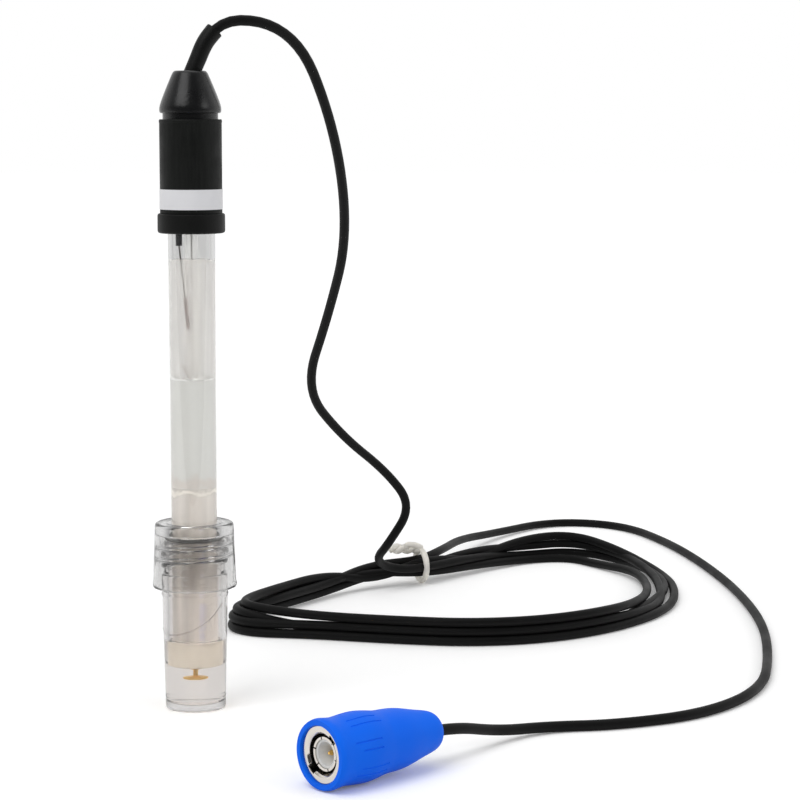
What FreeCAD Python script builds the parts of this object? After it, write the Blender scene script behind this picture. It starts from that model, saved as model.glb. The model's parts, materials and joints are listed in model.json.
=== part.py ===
# Redox (ORP) electrode standing in its storage bottle, with its lead, hank and coaxial plug.
# Millimetres, +Z up. The origin is the centre of the bottle's base, and the electrode stands on +Z.

import FreeCAD, Part
import Sketcher
import math
import os
from FreeCAD import Placement, Rotation, Vector

doc = FreeCAD.newDocument("redox_electrode")

# Driving dimensions. Levels are heights above the surface that the bottle stands on.
# On the plug, a depth is measured back from the mouth of its boot, along the plug's axis.
SIZES = {
    # storage bottle
    "bottle_foot_radius": 8.0,
    "bottle_waist_radius": 8.25,
    "bottle_waist_level": 12.5,
    "bottle_body_radius": 8.6,
    "bottle_body_level": 28.5,
    "bottle_foot_round": 1.2,
    "bottle_floor": 1.6,
    "bottle_bore_radius": 6.9,
    "neck_level": 36.5,
    "neck_length": 8.4,
    "neck_radius": 8.05,
    # screw thread between the bottle's neck and its cap
    "thread_pitch": 3.0,
    "thread_depth": 0.8,
    "thread_crest": 0.5,
    "thread_root": 1.1,
    "thread_start": 1.1,
    "thread_turns": 2.0,
    "thread_gap": 0.3,
    "thread_bite": 0.1,
    "cap_thread_shortening": 0.5,
    # screw cap
    "cap_top_radius": 10.35,
    "cap_skirt_radius": 11.1,
    "cap_skirt_level": 32.5,
    "cap_wall": 1.2,
    "cap_lid": 2.1,
    "cap_hole_radius": 6.8,
    "cap_mouth_length": 4.6,
    "cap_edge_round": 0.7,
    # seal ring on the neck's rim
    "seal_section_radius": 0.85,
    "seal_fit": 0.05,
    # storage solution
    "solution_level": 18.4,
    "solution_gap": 0.3,
    # electrode shaft
    "shaft_radius": 6.0,
    "shaft_top_radius": 6.2,
    "shaft_taper_start": 84.0,
    "shaft_taper_end": 122.0,
    "shaft_tip_level": 11.5,
    "shaft_end_level": 133.0,
    "shaft_tip_round": 0.5,
    "tube_wall": 1.15,
    "fill_gap": 0.02,
    # inner tube and what it holds
    "inner_tube_radius": 2.0,
    "inner_tube_wall": 0.5,
    "inner_tube_cover": 3.0,
    "tip_seat_end_level": 17.9,
    "sensor_disc_radius": 2.5,
    "sensor_disc_thickness": 0.7,
    "sensor_drop": 3.6,
    "sensor_stem_radius": 0.9,
    "sensor_stem_inset": 1.1,
    "sensor_lead_radius": 0.25,
    "junction_radius": 0.6,
    "junction_offset": 3.3,
    "junction_fit": 0.01,
    # fillings between the two tubes
    "lower_gel_end_level": 59.0,
    "middle_gel_end_level": 87.5,
    "upper_gel_end_level": 119.0,
    "potting_level": 126.5,
    # reference element
    "reference_wire_radius": 0.2,
    "reference_coat_radius": 0.45,
    "wire_end_level": 153.4,
    "wick_radius": 0.15,
    "splice_radius": 0.75,
    "splice_length": 3.2,
    # head
    "collar_level": 125.8,
    "collar_length": 5.1,
    "collar_radius": 8.8,
    "collar_round": 0.6,
    "head_fit": 0.05,
    "grip_radius": 8.1,
    "grip_length": 24.3,
    "grip_cavity_radius": 5.9,
    "grip_edge_round": 0.4,
    "label_level": 132.0,
    "label_height": 5.2,
    "label_thickness": 0.12,
    "head_spigot_length": 5.2,
    "head_neck_radius": 7.2,
    "head_neck_length": 1.6,
    "head_flare_radius": 8.0,
    "head_flare_length": 1.8,
    "head_top_radius": 4.1,
    "head_top_level": 167.7,
    "head_round": 0.7,
    # strain relief sleeve, shrunk on the lead where it leaves the head
    "sleeve_radius": 2.15,
    "sleeve_inset": 1.7,
    "sleeve_bend_share": 0.67,
    # cord
    "cord_radius": 1.4,
    "cord_bore_gap": 0.05,
    "cord_straight_end": 23.0,
    "coil_radius": 4.5,
    "tie_section_radius": 0.7,
    "tie_gap": 0.1,
    "tie_knot_radius": 1.3,
    "tie_end_radius": 1.1,
    "tie_long_lean": 30.0,
    "tie_long_reach": 8.5,
    "tie_short_lean": 48.0,
    "tie_short_reach": 6.5,
    # plug: place of the boot's mouth, and where the plug points
    "plug_mouth_x": 35.5,
    "plug_mouth_y": -84.2,
    "plug_heading": 222.0,
    "boot_rim_radius": 8.6,
    "boot_rim_length": 1.2,
    "boot_waist_radius": 8.2,
    "boot_waist_depth": 4.3,
    "boot_belly_radius": 8.55,
    "boot_belly_depth": 10.0,
    "boot_step_radius": 7.55,
    "boot_step_depth": 17.0,
    "boot_step_length": 5.0,
    "boot_tail_radius": 4.9,
    "boot_tail_depth": 34.8,
    "boot_end_radius": 3.2,
    "boot_end_depth": 37.8,
    "boot_cavity_radius": 6.0,
    "boot_cavity_depth": 20.0,
    "boot_throat_radius": 4.2,
    "boot_throat_depth": 27.0,
    "boot_bore_depth": 29.0,
    "boot_bore_gap": 0.3,
    "boot_grip_gap": 0.05,
    # coupling ring
    "ring_radius": 6.8,
    "ring_front_depth": 0.7,
    "ring_bore_radius": 4.9,
    "ring_chamfer": 0.5,
    "ring_recess_radius": 5.9,
    "ring_recess_depth": 8.8,
    "ring_lip_depth": 12.2,
    "ring_rear_depth": 14.0,
    "ring_running_gap": 0.05,
    "lug_slot_width": 2.4,
    "lug_slot_depth": 5.6,
    "lug_slot_radius": 5.9,
    # connector body and what it carries
    "flange_radius": 5.6,
    "flange_depth": 9.0,
    "flange_thickness": 1.2,
    "barrel_radius": 4.6,
    "barrel_depth": 15.5,
    "clamp_radius": 5.4,
    "clamp_depth": 19.0,
    "stem_radius": 2.4,
    "stem_depth": 25.0,
    "stem_bore_radius": 1.9,
    "contact_radius": 4.08,
    "contact_wall": 0.6,
    "contact_front_depth": 1.7,
    "contact_seat_depth": 12.0,
    "contact_slot_width": 0.35,
    "contact_slot_length": 5.0,
    "connector_fit": 0.02,
    "gasket_radius": 4.55,
    "gasket_thickness": 0.8,
    "insulator_front_depth": 2.0,
    "insulator_rear_depth": 15.9,
    "funnel_mouth_radius": 2.9,
    "funnel_floor_radius": 1.7,
    "funnel_depth": 4.2,
    "pin_radius": 0.675,
    "pin_tip_depth": 2.9,
    "pin_tip_taper": 0.9,
    "pin_tip_radius": 0.3,
    "pin_cup_radius": 1.1,
    "pin_cup_depth": 16.3,
    "pin_rear_depth": 22.0,
    "wave_washer_thickness": 0.5,
    "thrust_washer_thickness": 0.5,
    "washer_inner_gap": 0.05,
    "washer_outer_radius": 5.55,
    "washer_play": 0.05,
    "snap_ring_depth": 14.3,
    "snap_ring_thickness": 0.5,
    "snap_ring_radius": 5.3,
    "snap_groove_radius": 4.3,
    "snap_ring_gap": 1.6,
    "ferrule_radius": 3.2,
    "ferrule_front_depth": 19.3,
    "ferrule_step_depth": 25.2,
    "ferrule_rear_depth": 28.0,
    "ferrule_tail_radius": 2.3,
    "ferrule_gap": 0.05,
}

sheet = doc.addObject("Spreadsheet::Sheet", "Sizes")
for row, (name, value) in enumerate(SIZES.items(), start=1):
    sheet.set(f"A{row}", name)
    sheet.set(f"B{row}", str(value))
    sheet.setAlias(f"B{row}", name)
doc.recompute()


FULL_TURN = 360
HALF = 0.5
BEND_SHARE = 0.45
SAME_SPOT = 1e-6


class Size:
    """A number together with the formula on the sheet's cells that gives it."""

    def __init__(self, value, formula):
        self.value = value
        self.formula = formula

    def __add__(self, other):
        other = as_size(other)
        return Size(self.value + other.value, f"({self.formula} + {other.formula})")

    def __sub__(self, other):
        other = as_size(other)
        return Size(self.value - other.value, f"({self.formula} - {other.formula})")

    def __mul__(self, factor):
        factor = as_size(factor)
        return Size(self.value * factor.value, f"({self.formula} * {factor.formula})")

    def __neg__(self):
        return Size(-self.value, f"(-1 * {self.formula})")


class SheetSizes:
    """Gives each cell of the sheet by its alias, as in sizes.neck_radius."""

    def __getattr__(self, name):
        return Size(SIZES[name], f"Sizes.{name}")


def as_size(number):
    """A plain number counts as its own formula."""
    return number if isinstance(number, Size) else Size(float(number), str(float(number)))


sizes = SheetSizes()
AXIS = 0
PARTS = []


# Helpers for turned, bored and swept pieces

def origin_plane(body, role):
    """One of the body's own origin planes or axes, such as XZ_Plane or Z_Axis."""
    return next(feature for feature in body.Origin.OriginFeatures if feature.Role == role)


def draw_outline(body, name, plane, corners):
    """A closed sketch through the corners, each coordinate bound to its formula."""
    sketch = body.newObject("Sketcher::SketchObject", name)
    sketch.AttachmentSupport = (origin_plane(body, plane), [""])
    sketch.MapMode = "FlatFace"
    spots = [Vector(as_size(across).value, as_size(up).value, 0) for across, up in corners]
    count = len(spots)
    for index, spot in enumerate(spots):
        sketch.addGeometry(Part.LineSegment(spot, spots[(index + 1) % count]), False)
    for index in range(count):
        sketch.addConstraint(Sketcher.Constraint("Coincident", index, 2, (index + 1) % count, 1))
    for index, (across, up) in enumerate(corners):
        for kind, coordinate, axis_line in (("DistanceX", across, -2), ("DistanceY", up, -1)):
            if isinstance(coordinate, Size):
                number = sketch.addConstraint(
                    Sketcher.Constraint(kind, -1, 1, index, 1, coordinate.value))
                sketch.setExpression(f"Constraints[{number}]", coordinate.formula)
            else:
                sketch.addConstraint(Sketcher.Constraint("PointOnObject", index, 1, axis_line))
    return sketch


def new_body(name):
    """An empty body for one sub-part."""
    body = doc.addObject("PartDesign::Body", name)
    body.Label = name
    PARTS.append(body)
    return body


def turned(name, corners):
    """A body turned about its own Z from an outline of (radius, height) corners."""
    body = new_body(name)
    profile = draw_outline(body, f"{name}_outline", "XZ_Plane", corners)
    turning = body.newObject("PartDesign::Revolution", f"{name}_turning")
    turning.Profile = profile
    turning.ReferenceAxis = (profile, ["V_Axis"])
    turning.Angle = FULL_TURN
    doc.recompute()
    return body


def rounded(body, radius, rims):
    """Rounds the circular edges of a turned body at the given (radius, height) rims."""
    shape = body.Tip.Shape
    names = []
    for index, edge in enumerate(shape.Edges, start=1):
        curve = edge.Curve
        if not isinstance(curve, Part.Circle):
            continue
        for rim_radius, rim_height in rims:
            same_radius = abs(curve.Radius - as_size(rim_radius).value) < SAME_SPOT
            same_height = abs(curve.Center.z - as_size(rim_height).value) < SAME_SPOT
            if same_radius and same_height:
                names.append(f"Edge{index}")
    base = body.Tip
    fillet = body.newObject("PartDesign::Fillet", f"{body.Name}_rounding")
    fillet.Base = (base, names)
    fillet.setExpression("Radius", radius.formula)
    doc.recompute()
    body.Tip = fillet


def ridge(body, root_radius, crest_radius, level, turns):
    """A helical thread ridge on a turned body, from its wall towards the crest."""
    half_root = sizes.thread_root * HALF
    half_crest = sizes.thread_crest * HALF
    profile = draw_outline(body, f"{body.Name}_tooth", "XZ_Plane", [
        (root_radius, level - half_root),
        (crest_radius, level - half_crest),
        (crest_radius, level + half_crest),
        (root_radius, level + half_root),
    ])
    doc.recompute()
    helix = body.newObject("PartDesign::AdditiveHelix", f"{body.Name}_thread")
    helix.Profile = profile
    helix.ReferenceAxis = (profile, ["V_Axis"])
    helix.Mode = "pitch-turns-angle"
    helix.setExpression("Pitch", sizes.thread_pitch.formula)
    helix.setExpression("Turns", turns.formula)
    doc.recompute()
    body.Tip = helix


def slotted(body, name, width, reach, front, back, copies):
    """Radial slots in a turned body: a pocket from the axis outwards, repeated round it."""
    before = body.Tip.Shape.Volume
    outline = draw_outline(body, f"{name}_outline", "YZ_Plane", [
        (-(width * HALF), back),
        (width * HALF, back),
        (width * HALF, front),
        (-(width * HALF), front),
    ])
    pocket = body.newObject("PartDesign::Pocket", name)
    pocket.Profile = outline
    pocket.setExpression("Length", reach.formula)
    pocket.Reversed = True
    doc.recompute()
    pattern = body.newObject("PartDesign::PolarPattern", f"{name}_pattern")
    pattern.Originals = [pocket]
    pattern.Axis = (origin_plane(body, "Z_Axis"), [""])
    pattern.Angle = FULL_TURN
    pattern.Occurrences = copies
    body.Tip = pattern
    doc.recompute()
    print(f"{name}: cuts {before - body.Tip.Shape.Volume:.2f} mm3")


def rod(name, radius, start, length):
    """A round rod up the vertical from a start point, as a cylinder bound to the sheet."""
    piece = doc.addObject("Part::Cylinder", name)
    piece.Label = name
    piece.setExpression("Radius", radius.formula)
    piece.setExpression("Height", length.formula)
    for letter, coordinate in zip("xyz", start):
        piece.setExpression(f"Placement.Base.{letter}", as_size(coordinate).formula)
    PARTS.append(piece)
    return piece


def path_edges(points, closed=False):
    """Straight runs between the points, joined by the largest tangent arcs they allow."""
    corners = [Vector(*point) for point in points]
    count = len(corners)
    bends = {}
    for index in range(count) if closed else range(1, count - 1):
        corner = corners[index]
        back = corners[index - 1] - corner
        ahead = corners[(index + 1) % count] - corner
        half_turn = (math.pi - back.getAngle(ahead)) / 2
        trim = BEND_SHARE * min(back.Length, ahead.Length)
        radius = trim / math.tan(half_turn)
        towards_centre = Vector(back).normalize() + Vector(ahead).normalize()
        sagitta = radius / math.cos(half_turn) - radius
        bends[index] = (
            corner + Vector(back).normalize() * trim,
            corner + Vector(towards_centre).normalize() * sagitta,
            corner + Vector(ahead).normalize() * trim,
            radius,
        )
    edges = []
    first = 0 if closed else 1
    position = bends[0][2] if closed else corners[0]
    for step in range(first, count if not closed else count + 1):
        index = step % count
        if closed and step == 0:
            continue
        if index in bends:
            begin, middle, end, _ = bends[index]
            edges.append(Part.LineSegment(position, begin).toShape())
            edges.append(Part.Arc(begin, middle, end).toShape())
            position = end
        else:
            edges.append(Part.LineSegment(position, corners[index]).toShape())
    return edges, [bend[3] for bend in bends.values()]


def sweep(edges, radius):
    """A round bar of the given radius along the edges."""
    start = edges[0].valueAt(edges[0].FirstParameter)
    heading = edges[0].tangentAt(edges[0].FirstParameter)
    ring = Part.Wire([Part.Circle(start, heading, radius).toShape()])
    return Part.Wire(edges).makePipeShell([ring], True, True)


def closed_sweep(edges, radius):
    """The same along a closed route, made as two open bars that meet at both ends."""
    half = len(edges) // 2
    return sweep(edges[:half], radius).fuse(sweep(edges[half:], radius))


def bar(name, points, radius, closed=False):
    """A round bar along the rounded route through the points, such as a wire or a cord."""
    edges, radii = path_edges(points, closed)
    shape = closed_sweep(edges, radius) if closed else sweep(edges, radius)
    length = sum(edge.Length for edge in edges)
    smallest = min(radii) if radii else 0
    section = math.pi * radius ** 2
    print(f"{name}: length {length:.1f} mm, smallest bend {smallest:.1f} mm, "
          f"volume ratio {shape.Volume / (section * length):.4f}")
    if len(radii) > 2:
        print("   bends " + ", ".join(f"{bend:.0f}" for bend in radii))
    return feature(name, shape)


def feature(name, shape, placement=None):
    """A sub-part whose shape is made by code, with its place set afterwards."""
    piece = doc.addObject("Part::Feature", name)
    piece.Label = name
    piece.Shape = shape
    if placement is not None:
        piece.Placement = placement
    PARTS.append(piece)
    return piece


# Storage bottle, with a coarse thread ridge round its neck

neck_rim = sizes.neck_level + sizes.neck_length

storage_bottle = turned("storage_bottle", [
    (AXIS, AXIS),
    (sizes.bottle_foot_radius, AXIS),
    (sizes.bottle_waist_radius, sizes.bottle_waist_level),
    (sizes.bottle_body_radius, sizes.bottle_body_level),
    (sizes.bottle_body_radius, sizes.neck_level),
    (sizes.neck_radius, sizes.neck_level),
    (sizes.neck_radius, neck_rim),
    (sizes.bottle_bore_radius, neck_rim),
    (sizes.bottle_bore_radius, sizes.bottle_floor),
    (AXIS, sizes.bottle_floor),
])
rounded(storage_bottle, sizes.bottle_foot_round, [(sizes.bottle_foot_radius, 0)])
neck_thread_level = sizes.neck_level + sizes.thread_start
ridge(storage_bottle,
      sizes.neck_radius - sizes.thread_bite,
      sizes.neck_radius + sizes.thread_depth,
      neck_thread_level,
      sizes.thread_turns)

# Screw cap: its own ridge runs half a pitch above the neck's, so the two interleave

seal_top = neck_rim + sizes.fill_gap + sizes.seal_section_radius * 2
cap_ceiling = seal_top + sizes.fill_gap
cap_top = cap_ceiling + sizes.cap_lid
cap_bore = sizes.neck_radius + sizes.thread_depth + sizes.thread_gap
cap_mouth_end = sizes.cap_skirt_level + sizes.cap_mouth_length

bottle_cap = turned("bottle_cap", [
    (sizes.cap_hole_radius, cap_ceiling),
    (cap_bore, cap_ceiling),
    (cap_bore, cap_mouth_end),
    (sizes.cap_skirt_radius - sizes.cap_wall, sizes.cap_skirt_level),
    (sizes.cap_skirt_radius, sizes.cap_skirt_level),
    (sizes.cap_top_radius, cap_top),
    (sizes.cap_hole_radius, cap_top),
])
rounded(bottle_cap, sizes.cap_edge_round, [
    (sizes.cap_top_radius, cap_top),
    (sizes.cap_skirt_radius, sizes.cap_skirt_level),
])
ridge(bottle_cap,
      cap_bore + sizes.thread_bite,
      cap_bore - sizes.thread_depth,
      neck_thread_level + sizes.thread_pitch * HALF,
      sizes.thread_turns - sizes.cap_thread_shortening)

# Seal ring between the neck's rim, the cap and the shaft

seal_ring = doc.addObject("Part::Torus", "seal_ring")
seal_ring.Label = "seal_ring"
seal_bore = sizes.shaft_radius + sizes.seal_fit
seal_ring.setExpression("Radius1", (seal_bore + sizes.seal_section_radius).formula)
seal_ring.setExpression("Radius2", sizes.seal_section_radius.formula)
seal_ring.setExpression("Placement.Base.z", (seal_top - sizes.seal_section_radius).formula)
PARTS.append(seal_ring)

# Storage solution, which leaves the electrode's tip and sensor free

sensor_bottom = sizes.shaft_tip_level - sizes.sensor_drop
solution_bottom = sizes.bottle_floor + sizes.fill_gap
solution_wall = sizes.bottle_bore_radius - sizes.fill_gap
tip_hollow = sizes.shaft_radius + sizes.solution_gap
tip_hollow_floor = sizes.shaft_tip_level - sizes.solution_gap
sensor_hollow = sizes.sensor_disc_radius + sizes.solution_gap
sensor_hollow_floor = sensor_bottom - sizes.solution_gap

turned("storage_solution", [
    (AXIS, solution_bottom),
    (solution_wall, solution_bottom),
    (solution_wall, sizes.solution_level),
    (tip_hollow, sizes.solution_level),
    (tip_hollow, tip_hollow_floor),
    (sensor_hollow, tip_hollow_floor),
    (sensor_hollow, sensor_hollow_floor),
    (AXIS, sensor_hollow_floor),
])

# Electrode shaft: a clear outer tube, open at the tip for its seat

tube_bore = sizes.shaft_radius - sizes.tube_wall

outer_tube = turned("outer_tube", [
    (tube_bore, sizes.shaft_tip_level),
    (sizes.shaft_radius, sizes.shaft_tip_level),
    (sizes.shaft_radius, sizes.shaft_taper_start),
    (sizes.shaft_top_radius, sizes.shaft_taper_end),
    (sizes.shaft_top_radius, sizes.shaft_end_level),
    (tube_bore, sizes.shaft_end_level),
])
rounded(outer_tube, sizes.shaft_tip_round, [(sizes.shaft_radius, sizes.shaft_tip_level)])

# Tip seat, with a porous junction pin through it

fill_radius = tube_bore - sizes.fill_gap
stem_bore = sizes.sensor_stem_radius + sizes.fill_gap

tip_seat = turned("tip_seat", [
    (stem_bore, sizes.shaft_tip_level),
    (fill_radius, sizes.shaft_tip_level),
    (fill_radius, sizes.tip_seat_end_level),
    (stem_bore, sizes.tip_seat_end_level),
])


def bore_junction_hole(body):
    """A round hole up through the seat, beside the sensor's stem."""
    before = body.Tip.Shape.Volume
    sketch = body.newObject("Sketcher::SketchObject", "junction_circle")
    sketch.AttachmentSupport = (origin_plane(body, "XY_Plane"), [""])
    sketch.MapMode = "FlatFace"
    offset = sizes.junction_offset
    radius = sizes.junction_radius + sizes.junction_fit
    circle = Part.Circle(Vector(offset.value, 0, 0), Vector(0, 0, 1), radius.value)
    sketch.addGeometry(circle, False)
    sketch.addConstraint(Sketcher.Constraint("PointOnObject", 0, 3, -1))
    place = sketch.addConstraint(Sketcher.Constraint("DistanceX", -1, 1, 0, 3, offset.value))
    width = sketch.addConstraint(Sketcher.Constraint("Radius", 0, radius.value))
    sketch.setExpression(f"Constraints[{place}]", offset.formula)
    sketch.setExpression(f"Constraints[{width}]", radius.formula)
    pocket = body.newObject("PartDesign::Pocket", "junction_hole")
    pocket.Profile = sketch
    pocket.Type = "ThroughAll"
    pocket.Reversed = True
    doc.recompute()
    body.Tip = pocket
    print(f"junction hole: cuts {before - body.Tip.Shape.Volume:.2f} mm3")


bore_junction_hole(tip_seat)
rod("junction_pin", sizes.junction_radius,
    (sizes.junction_offset, 0, sizes.shaft_tip_level),
    sizes.tip_seat_end_level - sizes.shaft_tip_level)

# Metal sensor: a disc below the tip on a stem that reaches up into the inner tube

sensor_disc_top = sensor_bottom + sizes.sensor_disc_thickness
sensor_stem_top = sizes.tip_seat_end_level + sizes.sensor_stem_inset

turned("sensor_tip", [
    (AXIS, sensor_bottom),
    (sizes.sensor_disc_radius, sensor_bottom),
    (sizes.sensor_disc_radius, sensor_disc_top),
    (sizes.sensor_stem_radius, sensor_disc_top),
    (sizes.sensor_stem_radius, sensor_stem_top),
    (AXIS, sensor_stem_top),
])

# Inner tube, standing on the seat

inner_tube_foot = sizes.tip_seat_end_level + sizes.fill_gap
inner_tube_end = sizes.shaft_end_level - sizes.inner_tube_cover

turned("inner_tube", [
    (sizes.inner_tube_radius - sizes.inner_tube_wall, inner_tube_foot),
    (sizes.inner_tube_radius, inner_tube_foot),
    (sizes.inner_tube_radius, inner_tube_end),
    (sizes.inner_tube_radius - sizes.inner_tube_wall, inner_tube_end),
])

# Three fillings between the tubes, each standing on the one below

gel_bore = sizes.inner_tube_radius + sizes.fill_gap
for filling, low, high in (
        ("lower_gel", sizes.tip_seat_end_level, sizes.lower_gel_end_level),
        ("middle_gel", sizes.lower_gel_end_level, sizes.middle_gel_end_level),
        ("upper_gel", sizes.middle_gel_end_level, sizes.upper_gel_end_level)):
    turned(filling, [
        (gel_bore, low + sizes.fill_gap),
        (fill_radius, low + sizes.fill_gap),
        (fill_radius, high),
        (gel_bore, high),
    ])

# Potting that closes the tubes inside the head

lead_bore = sizes.sensor_lead_radius + sizes.fill_gap
potting_step = inner_tube_end + sizes.fill_gap

turned("potting_plug", [
    (gel_bore, sizes.potting_level),
    (fill_radius, sizes.potting_level),
    (fill_radius, sizes.shaft_end_level),
    (lead_bore, sizes.shaft_end_level),
    (lead_bore, potting_step),
    (gel_bore, potting_step),
])

# Routes of the cord and the wires, as lists of points. The cord's lead rises out of the head,
# arches over and comes down beside the tie. Its tail runs from the tie round the hank to the
# plug. The hank's own route is the middle of its four turns.

LEAD_ROUTE = [
    (0, 0, 153.5), (0, 0, 180.5), (26, 10, 181), (36.5, 38, 153), (39.5, 66, 122),
    (33, 89, 97), (25, 107, 73), (36, 124, 56.4), (49.9, 139, 43), (58.3, 145.9, 30.7),
    (50.3, 145, 18.1), (46.6, 152, 12.5), (49.8, 160, 9.9), (57.5, 162.7, 6.9),
    (64.5, 167.7, 6.6),
]
TAIL_ROUTE = [
    (64, 177, 6.5), (69, 192, 8), (75.5, 226, 6), (88, 260, 2.2), (112, 293, 1.4),
    (139, 284, 1.4), (152, 245, 1.4), (160, 200, 1.4), (165, 150, 1.4), (165.5, 100, 1.4),
    (160.5, 55, 1.4), (153, 14.5, 1.4), (135, -13.5, 1.4), (110, -25.5, 1.4), (91, -35, 1.6),
]
SPLICE_SPOT = (-2.9, -2.4)
COAT_ROUTE = [(-0.7, -3.2, 101), (-1.5, -2.9, 109)]
WICK_ROUTE = [(-2.6, -3.0, 91.9), (-0.2, -3.9, 87.8)]
REFERENCE_LEAD_BENDS = [(-2.9, -2.4, 138), (-0.8, -0.5, 149)]
REFERENCE_EXIT = (-0.8, -0.5)
HANK_ROUTE = [
    (62, 173.5, 6.3), (80, 194.5, 5.2), (98, 213, 4.5), (115, 221, 4.5), (130, 208, 4.5),
    (139, 184, 4.5), (141, 158, 4.5), (136, 126, 4.5), (122, 98, 4.5), (100, 80.5, 4.5),
    (76, 74.5, 4.5), (52, 79, 4.5), (28, 86, 4.5), (8, 90, 4.5), (3, 103, 4.5),
    (15, 126, 4.5), (30, 150, 4.5), (45, 166, 5.2),
]

# Wires: the sensor's runs up the axis, the reference's hangs in the upper filling

sensor_lead_start = sensor_stem_top + sizes.fill_gap
rod("sensor_lead", sizes.sensor_lead_radius, (0, 0, sensor_lead_start),
    sizes.wire_end_level - sensor_lead_start)

splice_level = sizes.collar_level - sizes.splice_length
splice_foot = (*SPLICE_SPOT, splice_level.value)
splice_head = (*SPLICE_SPOT, sizes.collar_level.value)
lead_end = (*REFERENCE_EXIT, sizes.wire_end_level.value)
bar("reference_coat", COAT_ROUTE, sizes.reference_coat_radius.value)
bar("reference_wire", [COAT_ROUTE[-1], splice_foot], sizes.reference_wire_radius.value)
rod("wire_splice", sizes.splice_radius, (*SPLICE_SPOT, splice_level), sizes.splice_length)
bar("reference_lead", [splice_head] + REFERENCE_LEAD_BENDS + [lead_end],
    sizes.reference_wire_radius.value)
bar("reference_wick", WICK_ROUTE, sizes.wick_radius.value)

# Head: collar, grip, label band and cap

head_bore = sizes.shaft_top_radius + sizes.head_fit
collar_top = sizes.collar_level + sizes.collar_length
grip_top = collar_top + sizes.grip_length

collar_ring = turned("collar_ring", [
    (head_bore, sizes.collar_level),
    (sizes.collar_radius, sizes.collar_level),
    (sizes.collar_radius, collar_top),
    (head_bore, collar_top),
])
rounded(collar_ring, sizes.collar_round, [
    (sizes.collar_radius, sizes.collar_level),
    (sizes.collar_radius, collar_top),
])

grip_step = sizes.shaft_end_level + sizes.head_fit
grip_sleeve = turned("grip_sleeve", [
    (head_bore, collar_top),
    (sizes.grip_radius, collar_top),
    (sizes.grip_radius, grip_top),
    (sizes.grip_cavity_radius, grip_top),
    (sizes.grip_cavity_radius, grip_step),
    (head_bore, grip_step),
])
rounded(grip_sleeve, sizes.grip_edge_round, [(sizes.grip_radius, grip_top)])

label_inside = sizes.grip_radius + sizes.fill_gap
turned("label_band", [
    (label_inside, sizes.label_level),
    (label_inside + sizes.label_thickness, sizes.label_level),
    (label_inside + sizes.label_thickness, sizes.label_level + sizes.label_height),
    (label_inside, sizes.label_level + sizes.label_height),
])

cord_bore = sizes.cord_radius + sizes.cord_bore_gap
sleeve_bore = sizes.sleeve_radius + sizes.cord_bore_gap
spigot_radius = sizes.grip_cavity_radius - sizes.head_fit
head_neck_top = grip_top + sizes.head_neck_length
flare_top = head_neck_top + sizes.head_flare_length
sleeve_foot = sizes.head_top_level - sizes.sleeve_inset

head_cap = turned("head_cap", [
    (cord_bore, grip_top - sizes.head_spigot_length),
    (spigot_radius, grip_top - sizes.head_spigot_length),
    (spigot_radius, grip_top),
    (sizes.head_neck_radius, grip_top),
    (sizes.head_neck_radius, head_neck_top),
    (sizes.head_flare_radius, head_neck_top),
    (sizes.head_flare_radius, flare_top),
    (sizes.head_top_radius, sizes.head_top_level),
    (sleeve_bore, sizes.head_top_level),
    (sleeve_bore, sleeve_foot),
    (cord_bore, sleeve_foot),
])
rounded(head_cap, sizes.head_round, [
    (sizes.head_flare_radius, head_neck_top),
    (sizes.head_flare_radius, flare_top),
    (sizes.head_top_radius, sizes.head_top_level),
])


def strain_relief_sleeve():
    """A sleeve shrunk on the lead, from inside the head's cap into the lead's first bend."""
    edges, _ = path_edges(LEAD_ROUTE[:3])
    upright, bend = edges[0], edges[1]
    foot = Vector(0, 0, sleeve_foot.value)
    first, last = bend.ParameterRange
    bend_end = first + (last - first) * sizes.sleeve_bend_share.value
    run = [
        Part.LineSegment(foot, upright.Vertexes[1].Point).toShape(),
        bend.Curve.toShape(first, bend_end),
    ]
    outside = sweep(run, sizes.sleeve_radius.value)
    inside = sweep(run, (sizes.cord_radius + sizes.fill_gap).value)
    return feature("strain_relief", outside.cut(inside))


strain_relief_sleeve()

# Cord: the lead, the closed shape of the hank, and the tail

plug_height = sizes.boot_rim_radius.value
forward = Rotation(Vector(0, 0, 1), sizes.plug_heading.value).multVec(Vector(1, 0, 0))
mouth = Vector(sizes.plug_mouth_x.value, sizes.plug_mouth_y.value, plug_height)
cord_end_depth = sizes.ferrule_step_depth + sizes.ferrule_gap
cord_end = mouth - forward * cord_end_depth.value
cord_entry = cord_end - forward * sizes.cord_straight_end.value

bar("cord_lead", LEAD_ROUTE, sizes.cord_radius.value)
bar("cord_tail", TAIL_ROUTE + [tuple(cord_entry), tuple(cord_end)], sizes.cord_radius.value)
bar("cord_coil", HANK_ROUTE, sizes.coil_radius.value, closed=True)


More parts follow.
